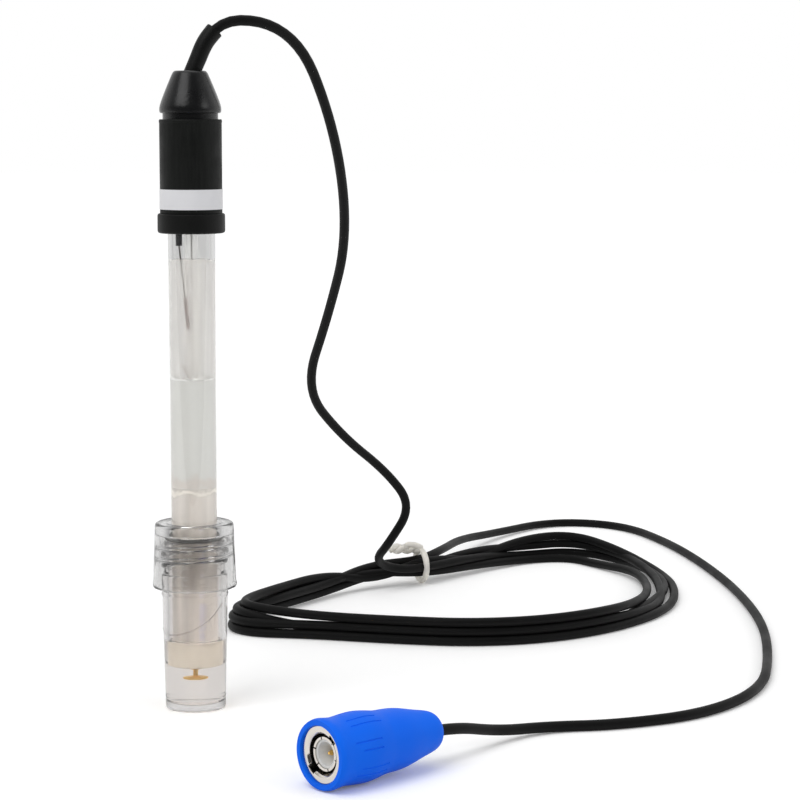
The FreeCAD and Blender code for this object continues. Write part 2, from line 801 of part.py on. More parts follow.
def hank_tie():
    """A ring round the hank, with its two twisted ends on top, away from the lead."""
    edges, _ = path_edges([HANK_ROUTE[-1], HANK_ROUTE[0], HANK_ROUTE[1]])
    bend = edges[1]
    first, last = bend.ParameterRange
    halfway = (first + last) / 2
    centre = bend.valueAt(halfway)
    along = bend.tangentAt(halfway)
    section = sizes.tie_section_radius.value
    ring_radius = sizes.coil_radius.value + sizes.tie_gap.value + section
    pieces = [Part.makeTorus(ring_radius, section, centre, along)]
    lift = Vector(0, 0, 1)
    away = lift.cross(along).normalize()
    knot = centre + lift * (ring_radius + section)
    pieces.append(Part.makeSphere(sizes.tie_knot_radius.value, knot))
    end_radius = sizes.tie_end_radius.value
    for lean, reach in ((sizes.tie_long_lean, sizes.tie_long_reach),
                        (sizes.tie_short_lean, sizes.tie_short_reach)):
        heading = Rotation(lift, lean.value).multVec(away)
        pieces.append(Part.makeCylinder(end_radius, reach.value, knot, heading))
        pieces.append(Part.makeSphere(end_radius, knot + heading * reach.value))
    return feature("cord_tie", pieces[0].multiFuse(pieces[1:]))


hank_tie()


# Plug. Its pieces are turned about their own Z, which is then laid along the plug's axis.
# A level of -depth is that far behind the boot's mouth.

def laid_on_plug_axis(piece):
    """Places a piece so that its Z runs out of the plug's mouth."""
    piece.Placement = Placement(mouth, Rotation(Vector(0, 0, 1), forward))
    return piece


boot_cord_bore = sizes.cord_radius + sizes.boot_bore_gap
plug_boot = turned("plug_boot", [
    (sizes.ring_radius + sizes.boot_grip_gap, AXIS),
    (sizes.boot_rim_radius, AXIS),
    (sizes.boot_rim_radius, -sizes.boot_rim_length),
    (sizes.boot_waist_radius, -sizes.boot_waist_depth),
    (sizes.boot_belly_radius, -sizes.boot_belly_depth),
    (sizes.boot_step_radius, -sizes.boot_step_depth),
    (sizes.boot_step_radius, -(sizes.boot_step_depth + sizes.boot_step_length)),
    (sizes.boot_tail_radius, -sizes.boot_tail_depth),
    (sizes.boot_end_radius, -sizes.boot_end_depth),
    (boot_cord_bore, -sizes.boot_end_depth),
    (boot_cord_bore, -sizes.boot_bore_depth),
    (sizes.boot_throat_radius, -sizes.boot_bore_depth),
    (sizes.boot_throat_radius, -sizes.boot_throat_depth),
    (sizes.boot_cavity_radius, -sizes.boot_cavity_depth),
    (sizes.boot_cavity_radius, -(sizes.ring_rear_depth + sizes.boot_grip_gap)),
    (sizes.ring_radius + sizes.boot_grip_gap, -(sizes.ring_rear_depth + sizes.boot_grip_gap)),
])
laid_on_plug_axis(plug_boot)

ring_lip_bore = sizes.barrel_radius + sizes.ring_running_gap
coupling_ring = turned("coupling_ring", [
    (sizes.ring_bore_radius + sizes.ring_chamfer, -sizes.ring_front_depth),
    (sizes.ring_radius, -sizes.ring_front_depth),
    (sizes.ring_radius, -sizes.ring_rear_depth),
    (ring_lip_bore, -sizes.ring_rear_depth),
    (ring_lip_bore, -sizes.ring_lip_depth),
    (sizes.ring_recess_radius, -sizes.ring_lip_depth),
    (sizes.ring_recess_radius, -sizes.ring_recess_depth),
    (sizes.ring_bore_radius, -sizes.ring_recess_depth),
    (sizes.ring_bore_radius, -(sizes.ring_front_depth + sizes.ring_chamfer)),
])
slotted(coupling_ring, "lug_slot",
        sizes.lug_slot_width,
        sizes.lug_slot_radius,
        -sizes.ring_front_depth,
        -sizes.lug_slot_depth,
        copies=2)
laid_on_plug_axis(coupling_ring)

contact_bore = sizes.contact_radius - sizes.contact_wall
contact_seat_bore = sizes.contact_radius + sizes.connector_fit
snap_groove_rear = sizes.snap_ring_depth + sizes.snap_ring_thickness + sizes.connector_fit
connector_body = turned("connector_body", [
    (contact_seat_bore, -sizes.flange_depth),
    (sizes.flange_radius, -sizes.flange_depth),
    (sizes.flange_radius, -(sizes.flange_depth + sizes.flange_thickness)),
    (sizes.barrel_radius, -(sizes.flange_depth + sizes.flange_thickness)),
    (sizes.barrel_radius, -(sizes.snap_ring_depth - sizes.connector_fit)),
    (sizes.snap_groove_radius, -(sizes.snap_ring_depth - sizes.connector_fit)),
    (sizes.snap_groove_radius, -snap_groove_rear),
    (sizes.barrel_radius, -snap_groove_rear),
    (sizes.barrel_radius, -sizes.barrel_depth),
    (sizes.clamp_radius, -sizes.barrel_depth),
    (sizes.clamp_radius, -sizes.clamp_depth),
    (sizes.stem_radius, -sizes.clamp_depth),
    (sizes.stem_radius, -sizes.stem_depth),
    (sizes.stem_bore_radius, -sizes.stem_depth),
    (sizes.stem_bore_radius, -(sizes.insulator_rear_depth + sizes.connector_fit)),
    (contact_bore, -(sizes.insulator_rear_depth + sizes.connector_fit)),
    (contact_bore, -(sizes.contact_seat_depth + sizes.connector_fit)),
    (contact_seat_bore, -(sizes.contact_seat_depth + sizes.connector_fit)),
])
laid_on_plug_axis(connector_body)

outer_contact = turned("outer_contact", [
    (contact_bore, -sizes.contact_seat_depth),
    (sizes.contact_radius, -sizes.contact_seat_depth),
    (sizes.contact_radius, -sizes.contact_front_depth),
    (contact_bore, -sizes.contact_front_depth),
])
slotted(outer_contact, "contact_slot",
        sizes.contact_slot_width,
        sizes.contact_radius + sizes.contact_wall,
        -sizes.contact_front_depth,
        -(sizes.contact_front_depth + sizes.contact_slot_length),
        copies=6)
laid_on_plug_axis(outer_contact)

mouth_gasket = turned("mouth_gasket", [
    (contact_seat_bore, -(sizes.flange_depth - sizes.connector_fit)),
    (sizes.gasket_radius, -(sizes.flange_depth - sizes.connector_fit)),
    (sizes.gasket_radius, -(sizes.flange_depth - sizes.gasket_thickness)),
    (contact_seat_bore, -(sizes.flange_depth - sizes.gasket_thickness)),
])
laid_on_plug_axis(mouth_gasket)

insulator_radius = contact_bore - sizes.connector_fit
pin_bore = sizes.pin_radius + sizes.connector_fit
funnel_floor = -(sizes.insulator_front_depth + sizes.funnel_depth)
insulator = turned("insulator", [
    (pin_bore, -sizes.insulator_rear_depth),
    (insulator_radius, -sizes.insulator_rear_depth),
    (insulator_radius, -sizes.insulator_front_depth),
    (sizes.funnel_mouth_radius, -sizes.insulator_front_depth),
    (sizes.funnel_floor_radius, funnel_floor),
    (pin_bore, funnel_floor),
])
laid_on_plug_axis(insulator)

centre_pin = turned("centre_pin", [
    (AXIS, -sizes.pin_tip_depth),
    (sizes.pin_tip_radius, -sizes.pin_tip_depth),
    (sizes.pin_radius, -(sizes.pin_tip_depth + sizes.pin_tip_taper)),
    (sizes.pin_radius, -sizes.pin_cup_depth),
    (sizes.pin_cup_radius, -sizes.pin_cup_depth),
    (sizes.pin_cup_radius, -sizes.pin_rear_depth),
    (AXIS, -sizes.pin_rear_depth),
])
laid_on_plug_axis(centre_pin)

washer_bore = sizes.barrel_radius + sizes.washer_inner_gap
wave_front = sizes.flange_depth + sizes.flange_thickness + sizes.washer_play
wave_washer = turned("wave_washer", [
    (washer_bore, -(wave_front + sizes.wave_washer_thickness)),
    (sizes.washer_outer_radius, -(wave_front + sizes.wave_washer_thickness)),
    (sizes.washer_outer_radius, -wave_front),
    (washer_bore, -wave_front),
])
laid_on_plug_axis(wave_washer)

thrust_rear = sizes.ring_lip_depth - sizes.washer_play
thrust_washer = turned("thrust_washer", [
    (washer_bore, -thrust_rear),
    (sizes.washer_outer_radius, -thrust_rear),
    (sizes.washer_outer_radius, -(thrust_rear - sizes.thrust_washer_thickness)),
    (washer_bore, -(thrust_rear - sizes.thrust_washer_thickness)),
])
laid_on_plug_axis(thrust_washer)

snap_ring_bore = sizes.snap_groove_radius + sizes.connector_fit
retaining_ring = turned("retaining_ring", [
    (snap_ring_bore, -(sizes.snap_ring_depth + sizes.snap_ring_thickness)),
    (sizes.snap_ring_radius, -(sizes.snap_ring_depth + sizes.snap_ring_thickness)),
    (sizes.snap_ring_radius, -sizes.snap_ring_depth),
    (snap_ring_bore, -sizes.snap_ring_depth),
])
slotted(retaining_ring, "snap_ring_split",
        sizes.snap_ring_gap,
        sizes.snap_ring_radius + sizes.snap_ring_thickness,
        -(sizes.snap_ring_depth - sizes.snap_ring_thickness),
        -(sizes.snap_ring_depth + sizes.snap_ring_thickness * 2),
        copies=1)
laid_on_plug_axis(retaining_ring)

stem_fit_radius = sizes.stem_radius + sizes.ferrule_gap
crimp_ferrule = turned("crimp_ferrule", [
    (stem_fit_radius, -sizes.ferrule_front_depth),
    (sizes.ferrule_radius, -sizes.ferrule_front_depth),
    (sizes.ferrule_radius, -sizes.ferrule_step_depth),
    (sizes.ferrule_tail_radius, -sizes.ferrule_rear_depth),
    (cord_bore, -sizes.ferrule_rear_depth),
    (cord_bore, -sizes.ferrule_step_depth),
    (stem_fit_radius, -sizes.ferrule_step_depth),
])
laid_on_plug_axis(crimp_ferrule)


# Every object has to be whole before anything is written

doc.recompute()
for item in doc.Objects:
    if "Invalid" in item.State or "Error" in item.State:
        raise RuntimeError(f"{item.Label} failed: {item.State}")
for part in PARTS:
    if part.Shape.isNull() or not part.Shape.isValid():
        raise RuntimeError(f"{part.Label} has no valid shape")

os.makedirs("parts", exist_ok=True)
for part in PARTS:
    part.Shape.exportStep(f"parts/{part.Label}.step")
    box = part.Shape.BoundBox
    print(f"{part.Label}: {len(part.Shape.Solids)} solid(s), {part.Shape.Volume:.2f} mm3, "
          f"z {box.ZMin:.2f} to {box.ZMax:.2f}")
print(f"{len(PARTS)} sub-parts written")
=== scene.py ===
# %% [markdown]
# # Redox electrode in its storage bottle
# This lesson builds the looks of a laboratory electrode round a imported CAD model. The CAD parts
# stay where they are. Each one gets a finish, and the parts whose look needs more detail than a
# machine drawing holds are modelled again here, in the same place and at the same size.

import json
import math

import bpy
from mathutils import Matrix, Vector

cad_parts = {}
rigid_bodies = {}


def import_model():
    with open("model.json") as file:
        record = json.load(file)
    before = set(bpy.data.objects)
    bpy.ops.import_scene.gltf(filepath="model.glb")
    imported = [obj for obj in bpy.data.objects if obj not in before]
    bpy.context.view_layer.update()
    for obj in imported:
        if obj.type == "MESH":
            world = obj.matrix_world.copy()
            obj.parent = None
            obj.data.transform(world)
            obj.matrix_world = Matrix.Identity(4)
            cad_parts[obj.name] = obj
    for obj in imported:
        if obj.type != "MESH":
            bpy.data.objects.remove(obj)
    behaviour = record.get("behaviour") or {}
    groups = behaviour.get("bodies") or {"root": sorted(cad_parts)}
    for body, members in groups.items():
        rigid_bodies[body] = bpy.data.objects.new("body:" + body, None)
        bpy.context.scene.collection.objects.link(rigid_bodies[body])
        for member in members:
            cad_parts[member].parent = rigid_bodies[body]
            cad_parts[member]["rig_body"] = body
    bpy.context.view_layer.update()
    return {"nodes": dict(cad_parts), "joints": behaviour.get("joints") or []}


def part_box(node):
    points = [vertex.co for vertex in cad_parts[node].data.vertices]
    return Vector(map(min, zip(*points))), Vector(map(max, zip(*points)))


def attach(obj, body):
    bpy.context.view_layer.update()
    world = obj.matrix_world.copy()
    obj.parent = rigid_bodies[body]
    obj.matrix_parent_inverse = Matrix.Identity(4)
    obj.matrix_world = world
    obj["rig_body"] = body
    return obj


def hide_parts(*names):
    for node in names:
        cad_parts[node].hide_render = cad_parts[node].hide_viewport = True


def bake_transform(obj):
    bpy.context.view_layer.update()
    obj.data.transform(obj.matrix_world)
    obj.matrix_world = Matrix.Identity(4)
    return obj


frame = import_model()
print("CAD nodes:", len(frame["nodes"]))

# %% [markdown]
# ## Sizes
# Every size below is in millimetres, as on the drawing, and MM turns it into Blender's metres.
# The origin is the middle of the bottle's foot, Z runs up the shaft and -Y faces the camera.
# Places that the CAD already knows are read from its boxes, so they're never typed twice.

# %% Read the places that the frame gives
MM = 0.001
RING_STEPS = 128
CORD_RADIUS = 1.4


def lowest(node):
    """Height of a CAD node's underside, in millimetres."""
    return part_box(node)[0][2] / MM


def highest(node):
    """Height of a CAD node's top, in millimetres."""
    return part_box(node)[1][2] / MM


def half_width(node):
    """Radius of a CAD node that is turned about the shaft's axis, in millimetres."""
    low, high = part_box(node)
    return (high[0] - low[0]) / 2 / MM


print("shaft radius", round(half_width("outer_tube"), 2), "mm")
print("cap from", round(lowest("bottle_cap"), 1), "to", round(highest("bottle_cap"), 1), "mm")

# %% [markdown]
# ## Selecting
# Operators act on whatever is selected, so each step starts by deselecting everything. A
# finished piece has its place in its mesh and its object at the origin, so that the patterns
# in its finish stay where they are.


# %% Helpers for single pieces
def select_only(piece):
    """Makes one piece the only selected object, and the active one."""
    bpy.ops.object.select_all(action="DESELECT")
    piece.select_set(True)
    bpy.context.view_layer.objects.active = piece


def settle(piece):
    """Puts a piece's place into its mesh, so that its object sits at the origin."""
    select_only(piece)
    bpy.ops.object.transform_apply(location=True, rotation=True, scale=True)
    return piece


def dress(piece, finish):
    """Gives every face of a piece one material."""
    piece.data.materials.clear()
    piece.data.materials.append(finish)
    for face in piece.data.polygons:
        face.material_index = 0
    return piece


# %% [markdown]
# ## Camera
# The photograph was taken from a little above, with a long lens, so upright edges stay nearly
# parallel. The camera's place was worked out from the size of the shaft and from where things
# touch the floor. A 112.5 mm lens on a 36 mm sensor gives the same narrow view.

# %% Camera
CAMERA_PLACE = Vector((54.3, -651.7, 157.4)) * MM
CAMERA_TILT = 6.6
CAMERA_LENS = 112.5

bpy.ops.object.select_all(action="DESELECT")
bpy.ops.object.camera_add(
    location=CAMERA_PLACE, rotation=(math.radians(90 - CAMERA_TILT), 0, 0))
camera = bpy.context.object
camera.data.lens = CAMERA_LENS
camera.data.clip_start = 0.01
bpy.context.scene.camera = camera
print("camera looks down by", CAMERA_TILT, "degrees")

# %% [markdown]
# ## Floor, backdrop and light
# A studio sweep is one sheet that lies flat and curves up behind the object. Here a wide pale
# floor and a pale world do the same. The world's colour is a soft dome light. Camera and glossy
# rays see the floor whiter than it is, with a glow that grows with the distance, so the page
# stays white without more light on the object, and the floor keeps the object's soft shadow.
# See-through rays read a backdrop instead: pale behind the object and dim at its sides, which
# draws the grey edges of clear plastic. What they meet after a gel or a wire is brighter.

# %% Helpers for materials
def new_finish(name, **fixed):
    """A node material, its shader and its tree. The fixed values go onto the shader."""
    finish = bpy.data.materials.new(name)
    finish.use_nodes = True
    shader = finish.node_tree.nodes["Principled BSDF"]
    for socket, value in fixed.items():
        shader.inputs[socket.replace("_", " ")].default_value = value
    return finish, shader, finish.node_tree


def add_node(tree, kind, spot, values=None, **settings):
    """A shader node of a kind, placed in the editor, with its settings and input values."""
    node = tree.nodes.new("ShaderNode" + kind)
    node.location = spot
    for setting, value in settings.items():
        setattr(node, setting, value)
    for socket, value in (values or {}).items():
        node.inputs[socket].default_value = value
    return node


def connect(tree, *links):
    """Links nodes. Each link names a node and its output, then a node and its input."""
    for source, output, target, socket in links:
        tree.links.new(source.outputs[output], target.inputs[socket])


def mix(tree, spot, first=0.0, second=0.0):
    """A Mix node for two colours, or for two numbers."""
    if isinstance(first, tuple):
        ends = {"A": (*first, 1), "B": (*second, 1)}
        return add_node(tree, "Mix", spot, ends, data_type="RGBA")
    return add_node(tree, "Mix", spot, {"A": first, "B": second}, data_type="FLOAT")


def to_range(tree, spot, source, target=(0.0, 1.0), interpolation="LINEAR"):
    """A Map Range node that turns one pair of limits into another."""
    ends = {"From Min": source[0], "From Max": source[1],
            "To Min": target[0], "To Max": target[1]}
    return add_node(tree, "MapRange", spot, ends, interpolation_type=interpolation)


# %% How bright the studio is to each kind of ray
SEEN_THROUGH = 0.68
SIDE_SHADE = 0.10
SIDE_TURN = -0.1, 0.9
INNER_LIGHT = 1.55
DEEP_LIGHT = 3.2
INNER_WALLS = 2.0, 6.0


def by_ray(tree, soft_light, shown, place, place_output):
    """A brightness for soft light, the shown one for camera and mirrored rays, and a backdrop
    for rays through clear pieces: pale behind the object, dim at its sides. Light that comes
    to a gel through more clear walls is made up for what they take."""
    path = add_node(tree, "LightPath", (-900, 300))
    seen = add_node(tree, "Math", (-700, 300), operation="MAXIMUM")
    bare = mix(tree, (-500, 0), soft_light)
    way = add_node(tree, "VectorMath", (-1100, -500), operation="NORMALIZE")
    axes = add_node(tree, "SeparateXYZ", (-900, -500))
    fade = to_range(tree, (-700, -500), SIDE_TURN, (SIDE_SHADE, SEEN_THROUGH), "SMOOTHSTEP")
    scattered = add_node(tree, "Math", (-700, -750), {1: 1.0}, operation="MINIMUM")
    inner = to_range(tree, (-700, -950), INNER_WALLS, (INNER_LIGHT, DEEP_LIGHT))
    backdrop = mix(tree, (-500, -500))
    bright = mix(tree, (-300, 0))
    connect(tree, (path, "Is Camera Ray", seen, 0),
            (path, "Is Glossy Ray", seen, 1),
            (seen, 0, bare, "Factor"),
            (shown, "Result", bare, "B"),
            (place, place_output, way, 0),
            (way, 0, axes, "Vector"),
            (axes, "Y", fade, "Value"),
            (path, "Diffuse Depth", scattered, 0),
            (path, "Transmission Depth", inner, "Value"),
            (scattered, 0, backdrop, "Factor"),
            (fade, "Result", backdrop, "A"),
            (inner, "Result", backdrop, "B"),
            (bare, "Result", bright, "A"),
            (backdrop, "Result", bright, "B"),
            (path, "Is Transmission Ray", bright, "Factor"))
    return path, seen, bright


# %% Floor
FLOOR_WIDTH = 6.0
FLOOR_FRONT = -0.35
FLOOR_LEVEL = -0.02
FLOOR_PALE = (0.80, 0.80, 0.80)
FLOOR_SEEN = (1.0, 1.0, 1.0)
NO_LIGHT = (0.0, 0.0, 0.0)
FLOOR_GLOW = 0.09, 0.46
GLOW_REACH = 0.10, 1.40

bpy.ops.object.select_all(action="DESELECT")
bpy.ops.mesh.primitive_plane_add(
    size=FLOOR_WIDTH, location=(0, FLOOR_FRONT + FLOOR_WIDTH / 2, FLOOR_LEVEL * MM))
studio_floor = settle(bpy.context.object)
studio_floor.name = "studio_floor"
floor_finish, floor_shader, floor_tree = new_finish(
    "pale_floor", Specular_IOR_Level=0.0, Emission_Strength=1.0)
floor_place = add_node(floor_tree, "TexCoord", (-1300, -300))
floor_far = add_node(floor_tree, "VectorMath", (-900, -100), operation="LENGTH")
floor_depth = to_range(floor_tree, (-700, -100), GLOW_REACH, FLOOR_GLOW)
floor_path, floor_seen, floor_glow = by_ray(floor_tree, 0.0, floor_depth, floor_place, "Object")
floor_colour = mix(floor_tree, (-500, 300), FLOOR_PALE, FLOOR_SEEN)
floor_behind = mix(floor_tree, (-300, 300), NO_LIGHT, NO_LIGHT)
connect(floor_tree, (floor_place, "Object", floor_far, 0),
        (floor_far, "Value", floor_depth, "Value"),
        (floor_seen, 0, floor_colour, "Factor"),
        (floor_colour, "Result", floor_behind, "A"),
        (floor_path, "Is Transmission Ray", floor_behind, "Factor"),
        (floor_behind, "Result", floor_shader, "Base Color"),
        (floor_glow, "Result", floor_shader, "Emission Color"))
dress(studio_floor, floor_finish)
print("floor is", FLOOR_WIDTH, "m wide")

# %% [markdown]
# The world isn't the same on all sides. Behind the object it's the white sweep, and on the
# camera's side it's the dim studio, because black plastic and nickel only look black and bright
# when they have something dark to mirror. So mirrored rays read their own direction
# and find a value between the two. See-through rays read the same backdrop as on the floor.
# Soft light keeps one even strength from all round.

# %% World
WORLD_LIGHT = 0.60
DIM_STUDIO = 0.06
MIRROR_TURN = -0.55, 0.45

world = bpy.data.worlds.new("studio_dome")
world.use_nodes = True
bpy.context.scene.world = world
dome = world.node_tree
dome_shade = dome.nodes["Background"]
dome_shade.inputs["Color"].default_value = (1, 1, 1, 1)
dome_way = add_node(dome, "TexCoord", (-1300, -300))
dome_axes = add_node(dome, "SeparateXYZ", (-900, -100))
dome_depth = to_range(dome, (-700, -100), MIRROR_TURN, (DIM_STUDIO, 1.0), "SMOOTHSTEP")
dome_path, _, dome_light = by_ray(dome, WORLD_LIGHT, dome_depth, dome_way, "Generated")
dome_strength = mix(dome, (-150, 100), second=1.0)
connect(dome, (dome_way, "Generated", dome_axes, "Vector"),
        (dome_axes, "Y", dome_depth, "Value"),
        (dome_light, "Result", dome_strength, "A"),
        (dome_path, "Is Camera Ray", dome_strength, "Factor"),
        (dome_strength, "Result", dome_shade, "Strength"))
print("world light", WORLD_LIGHT)


# %% Lamps
def soft_lamp(name, place, aim, size, power):
    """A square area lamp that points at a spot, places in metres and power in watts."""
    bpy.ops.object.select_all(action="DESELECT")
    bpy.ops.object.light_add(type="AREA", location=place)
    lamp = bpy.context.object
    lamp.name = name
    lamp.data.size = size
    lamp.data.energy = power
    lamp.rotation_euler = (Vector(aim) - Vector(place)).to_track_quat("-Z", "Y").to_euler()


soft_lamp("window_left", (-0.42, -0.56, 0.88), (0.0, 0.0, 0.16), 0.70, 4.2)
soft_lamp("window_right", (0.95, -0.45, 0.55), (0.05, 0.05, 0.06), 0.45, 1.4)
soft_lamp("ceiling", (0.05, 0.10, 1.20), (0.05, 0.08, 0.0), 0.90, 2.0)

bpy.context.scene.view_settings.view_transform = "Standard"

# %% [markdown]
# ## The cord's route
# The cord is one length of limp black cable. It rises out of the head, arches over, comes down
# behind, runs four times round a hank and leaves it for the plug. A cord could be simulated, but
# the photograph shows each bend, so its route is a list of points instead, and a smooth NURBS
# line follows them. The hank's turns share one middle line. At each place along it, four small
# offsets say how the strands lie on each other there: first to the outside, then up.

# %% Points of the lead and the tail, in millimetres
LEAD_ROUTE = [
    (0, 0, 153.5), (0, 0, 180.5), (26, 10, 181), (36.5, 38, 153), (39.5, 66, 122),
    (33, 89, 97), (25, 107, 73), (36, 124, 56.4), (49.9, 139, 43), (58.3, 145.9, 30.7),
    (50.3, 145, 18.1), (46.6, 152, 12.5), (49.2, 160, 8.4), (55.5, 164.8, 6.4),
]
TAIL_ROUTE = [
    (69, 192, 8.4), (75.5, 226, 6), (88, 260, 2.2), (112, 293, 1.4), (139, 284, 1.4),
    (152, 245, 1.4), (160, 200, 1.4), (165, 150, 1.4), (165.5, 100, 1.4), (160.5, 55, 1.4),
    (153, 14.5, 1.4), (135, -13.5, 1.4), (110, -26, 1.4), (92, -28, 1.4), (79, -39, 3.0),
]

# %% Points of the hank
TURNS = 4
HANK_ROUTE = [
    (62, 173.5), (80, 194.5), (98, 213), (115, 221), (130, 208), (139, 184), (141, 158),
    (136, 126), (122, 98), (100, 80.5), (76, 74.5), (52, 79), (28, 86), (8, 90), (3, 103),
    (15, 126), (30, 150), (45, 166),
]
IN_THE_TIE = [(-2.5, 6.0), (-0.9, 3.7), (-0.6, 8.4), (2.0, 4.8), (2.1, 7.6)]
STRANDS = {
    "by the tie": [(-1.4, 5.6), (-1.5, 2.8), (1.4, 4.2), (1.5, 7.4)],
    "back": [(2.6, 2.2), (-1.5, 1.4), (1.2, 8.3), (1.9, 5.4)],
    "far back": [(3.4, 2.2), (-6.5, 1.4), (2.2, 8.4), (3.0, 5.4)],
    "right back": [(2.6, 1.5), (-9.4, 1.4), (0.2, 5.6), (1.6, 3.9)],
    "right": [(1.3, 2.0), (-5.2, 2.6), (4.1, 1.4), (-1.5, 3.6)],
    "right front": [(-1.3, 3.3), (-4.0, 4.6), (4.0, 1.4), (1.3, 2.2)],
    "front": [(-2.2, 2.4), (0.3, 7.0), (0.7, 1.4), (0.2, 4.2)],
    "left": [(0.3, 6.4), (-2.6, 8.3), (2.2, 1.4), (1.9, 4.1)],
    "back left": [(1.4, 4.6), (0.1, 7.4), (0.0, 1.8), (-1.5, 4.7)],
}
ALONG_THE_HANK = (
    ["tie", "by the tie", "back", "far back", "right back", "right", "right", "right front"]
    + ["front"] * 5 + ["left"] * 2 + ["back left"] * 2 + ["by the tie"]
)


def beside(index, outward, up):
    """The point beside the hank's middle line at one place, in millimetres."""
    count = len(HANK_ROUTE)
    x, y = HANK_ROUTE[index]
    before = Vector(HANK_ROUTE[index - 1])
    after = Vector(HANK_ROUTE[(index + 1) % count])
    along = (after - before).normalized()
    return (x - along.y * outward, y + along.x * outward, up)


hank_points = []
for turn in range(TURNS):
    for index, place in enumerate(ALONG_THE_HANK):
        offset = IN_THE_TIE[turn] if place == "tie" else STRANDS[place][turn]
        hank_points.append(beside(index, *offset))
hank_points.append(beside(0, *IN_THE_TIE[TURNS]))
print("the hank has", len(hank_points), "points in", TURNS, "turns")

# %% [markdown]
# The cord's end has to run straight into the plug, so its last two points are measured back
# along the plug's own axis, which the frame gives as the axis of the coupling ring's joint.

# %% Points at the plug
joints = {joint["name"]: joint for joint in frame["joints"]}
plug_mouth = Vector(joints["coupling_turn"]["pos_m"])
plug_forward = Vector(joints["coupling_turn"]["axis"]).normalized()
CORD_END_DEPTH = 25.25
CORD_STRAIGHT_END = 16.0

cord_end = plug_mouth - plug_forward * CORD_END_DEPTH * MM
cord_entry = cord_end - plug_forward * CORD_STRAIGHT_END * MM
cord_points = [Vector(point) * MM for point in LEAD_ROUTE + hank_points + TAIL_ROUTE]
cord_points += [cord_entry, cord_end]
print("the cord follows", len(cord_points), "points")

# %% [markdown]
# A NURBS line of order 3 passes smoothly by its points, and its ends lie on the first and the
# last. The line is turned into a mesh without thickness first, to read the exact middle of the
# cord. Then the curve gets its round section and becomes the mesh that shows.


# %% The cord
CORD_SMOOTHNESS = 10
CORD_SIDES = 5


def smooth_line(name, points, smoothness, widths=None):
    """A curve of order 3 along points in metres, with a width factor for each."""
    line = bpy.data.curves.new(name, "CURVE")
    line.dimensions = "3D"
    line.resolution_u = smoothness
    run = line.splines.new("NURBS")
    run.points.add(len(points) - 1)
    for control, point, width in zip(run.points, points, widths or [1.0] * len(points)):
        control.co = (*point, 1)
        control.radius = width
    run.order_u = 3
    run.use_endpoint_u = True
    piece = bpy.data.objects.new(name, line)
    bpy.context.scene.collection.objects.link(piece)
    return piece


def thicken(piece, radius, sides):
    """Gives a curve a round section, its radius in millimetres, and turns it into a mesh."""
    piece.data.bevel_depth = radius * MM
    piece.data.bevel_resolution = sides
    piece.data.use_fill_caps = True
    select_only(piece)
    bpy.ops.object.convert(target="MESH")


cord = smooth_line("cord", cord_points, CORD_SMOOTHNESS)
bpy.context.view_layer.update()
middle = bpy.data.meshes.new_from_object(cord)
cord_path = [tuple(vertex.co) for vertex in middle.vertices]
bpy.data.meshes.remove(middle)
thicken(cord, CORD_RADIUS, CORD_SIDES)
bpy.ops.object.shade_smooth()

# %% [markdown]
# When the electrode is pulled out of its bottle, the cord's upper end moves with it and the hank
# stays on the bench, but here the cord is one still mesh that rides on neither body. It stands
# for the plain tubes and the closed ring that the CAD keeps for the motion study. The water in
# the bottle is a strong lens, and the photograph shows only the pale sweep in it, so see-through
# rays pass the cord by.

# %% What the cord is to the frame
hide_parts("cord_lead", "cord_coil", "cord_tail")
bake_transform(cord)
cord.visible_transmission = False

# %% [markdown]
# ## Finishes shared by many pieces
# No surface is one flat colour. Moulded plastic has a faint grain and a few smudges, and clear
# mouldings have slow flow marks. One node group makes both: it only puts out values, and every
# material gives it its own scales and roughness. Object coordinates keep the pattern fixed to
# the piece.

# %% Node group for grain and smudges
SMUDGE_SPREAD = 0.35, 0.65
GRAIN_INPUTS = {"Grain Scale": 3000.0, "Smudge Scale": 90.0, "Low": 0.3, "High": 0.5}

grain_group = bpy.data.node_groups.new("moulded_grain", "ShaderNodeTree")
for label, value in GRAIN_INPUTS.items():
    grain_group.interface.new_socket(
        label, in_out="INPUT", socket_type="NodeSocketFloat").default_value = value
for label in ("Height", "Roughness", "Tone"):
    grain_group.interface.new_socket(label, in_out="OUTPUT", socket_type="NodeSocketFloat")
grain_in = grain_group.nodes.new("NodeGroupInput")
grain_out = grain_group.nodes.new("NodeGroupOutput")
grain_in.location, grain_out.location = (-900, 0), (500, 0)


def grain_noise(scale_input, spot, detail):
    """A noise texture on Object coordinates, with its scale from one of the group's inputs."""
    place = add_node(grain_group, "TexCoord", (spot[0] - 250, spot[1] - 150))
    noise = add_node(grain_group, "TexNoise", spot, {"Detail": detail})
    connect(grain_group, (place, "Object", noise, "Vector"),
            (grain_in, scale_input, noise, "Scale"))
    return noise


fine = grain_noise("Grain Scale", (-500, 200), 3)
smudge = grain_noise("Smudge Scale", (-500, -200), 4)
spread = to_range(grain_group, (-100, -200), SMUDGE_SPREAD)
connect(grain_group, (smudge, "Fac", spread, "Value"),
        (grain_in, "Low", spread, "To Min"),
        (grain_in, "High", spread, "To Max"),
        (fine, "Fac", grain_out, "Height"),
        (spread, "Result", grain_out, "Roughness"),
        (smudge, "Fac", grain_out, "Tone"))
print("group:", grain_group.name)


# %% Moulded finish
def grain_of(tree, grain, smudges, low, high, spot):
    """The shared grain group in a material, with its own scales and roughness."""
    values = dict(zip(GRAIN_INPUTS, (grain, smudges, low, high)))
    return add_node(tree, "Group", spot, values, node_tree=grain_group)


def relief_of(tree, strength, distance, spot):
    """A Bump node, with its distance in millimetres."""
    return add_node(tree, "Bump", spot, {"Strength": strength, "Distance": distance * MM})


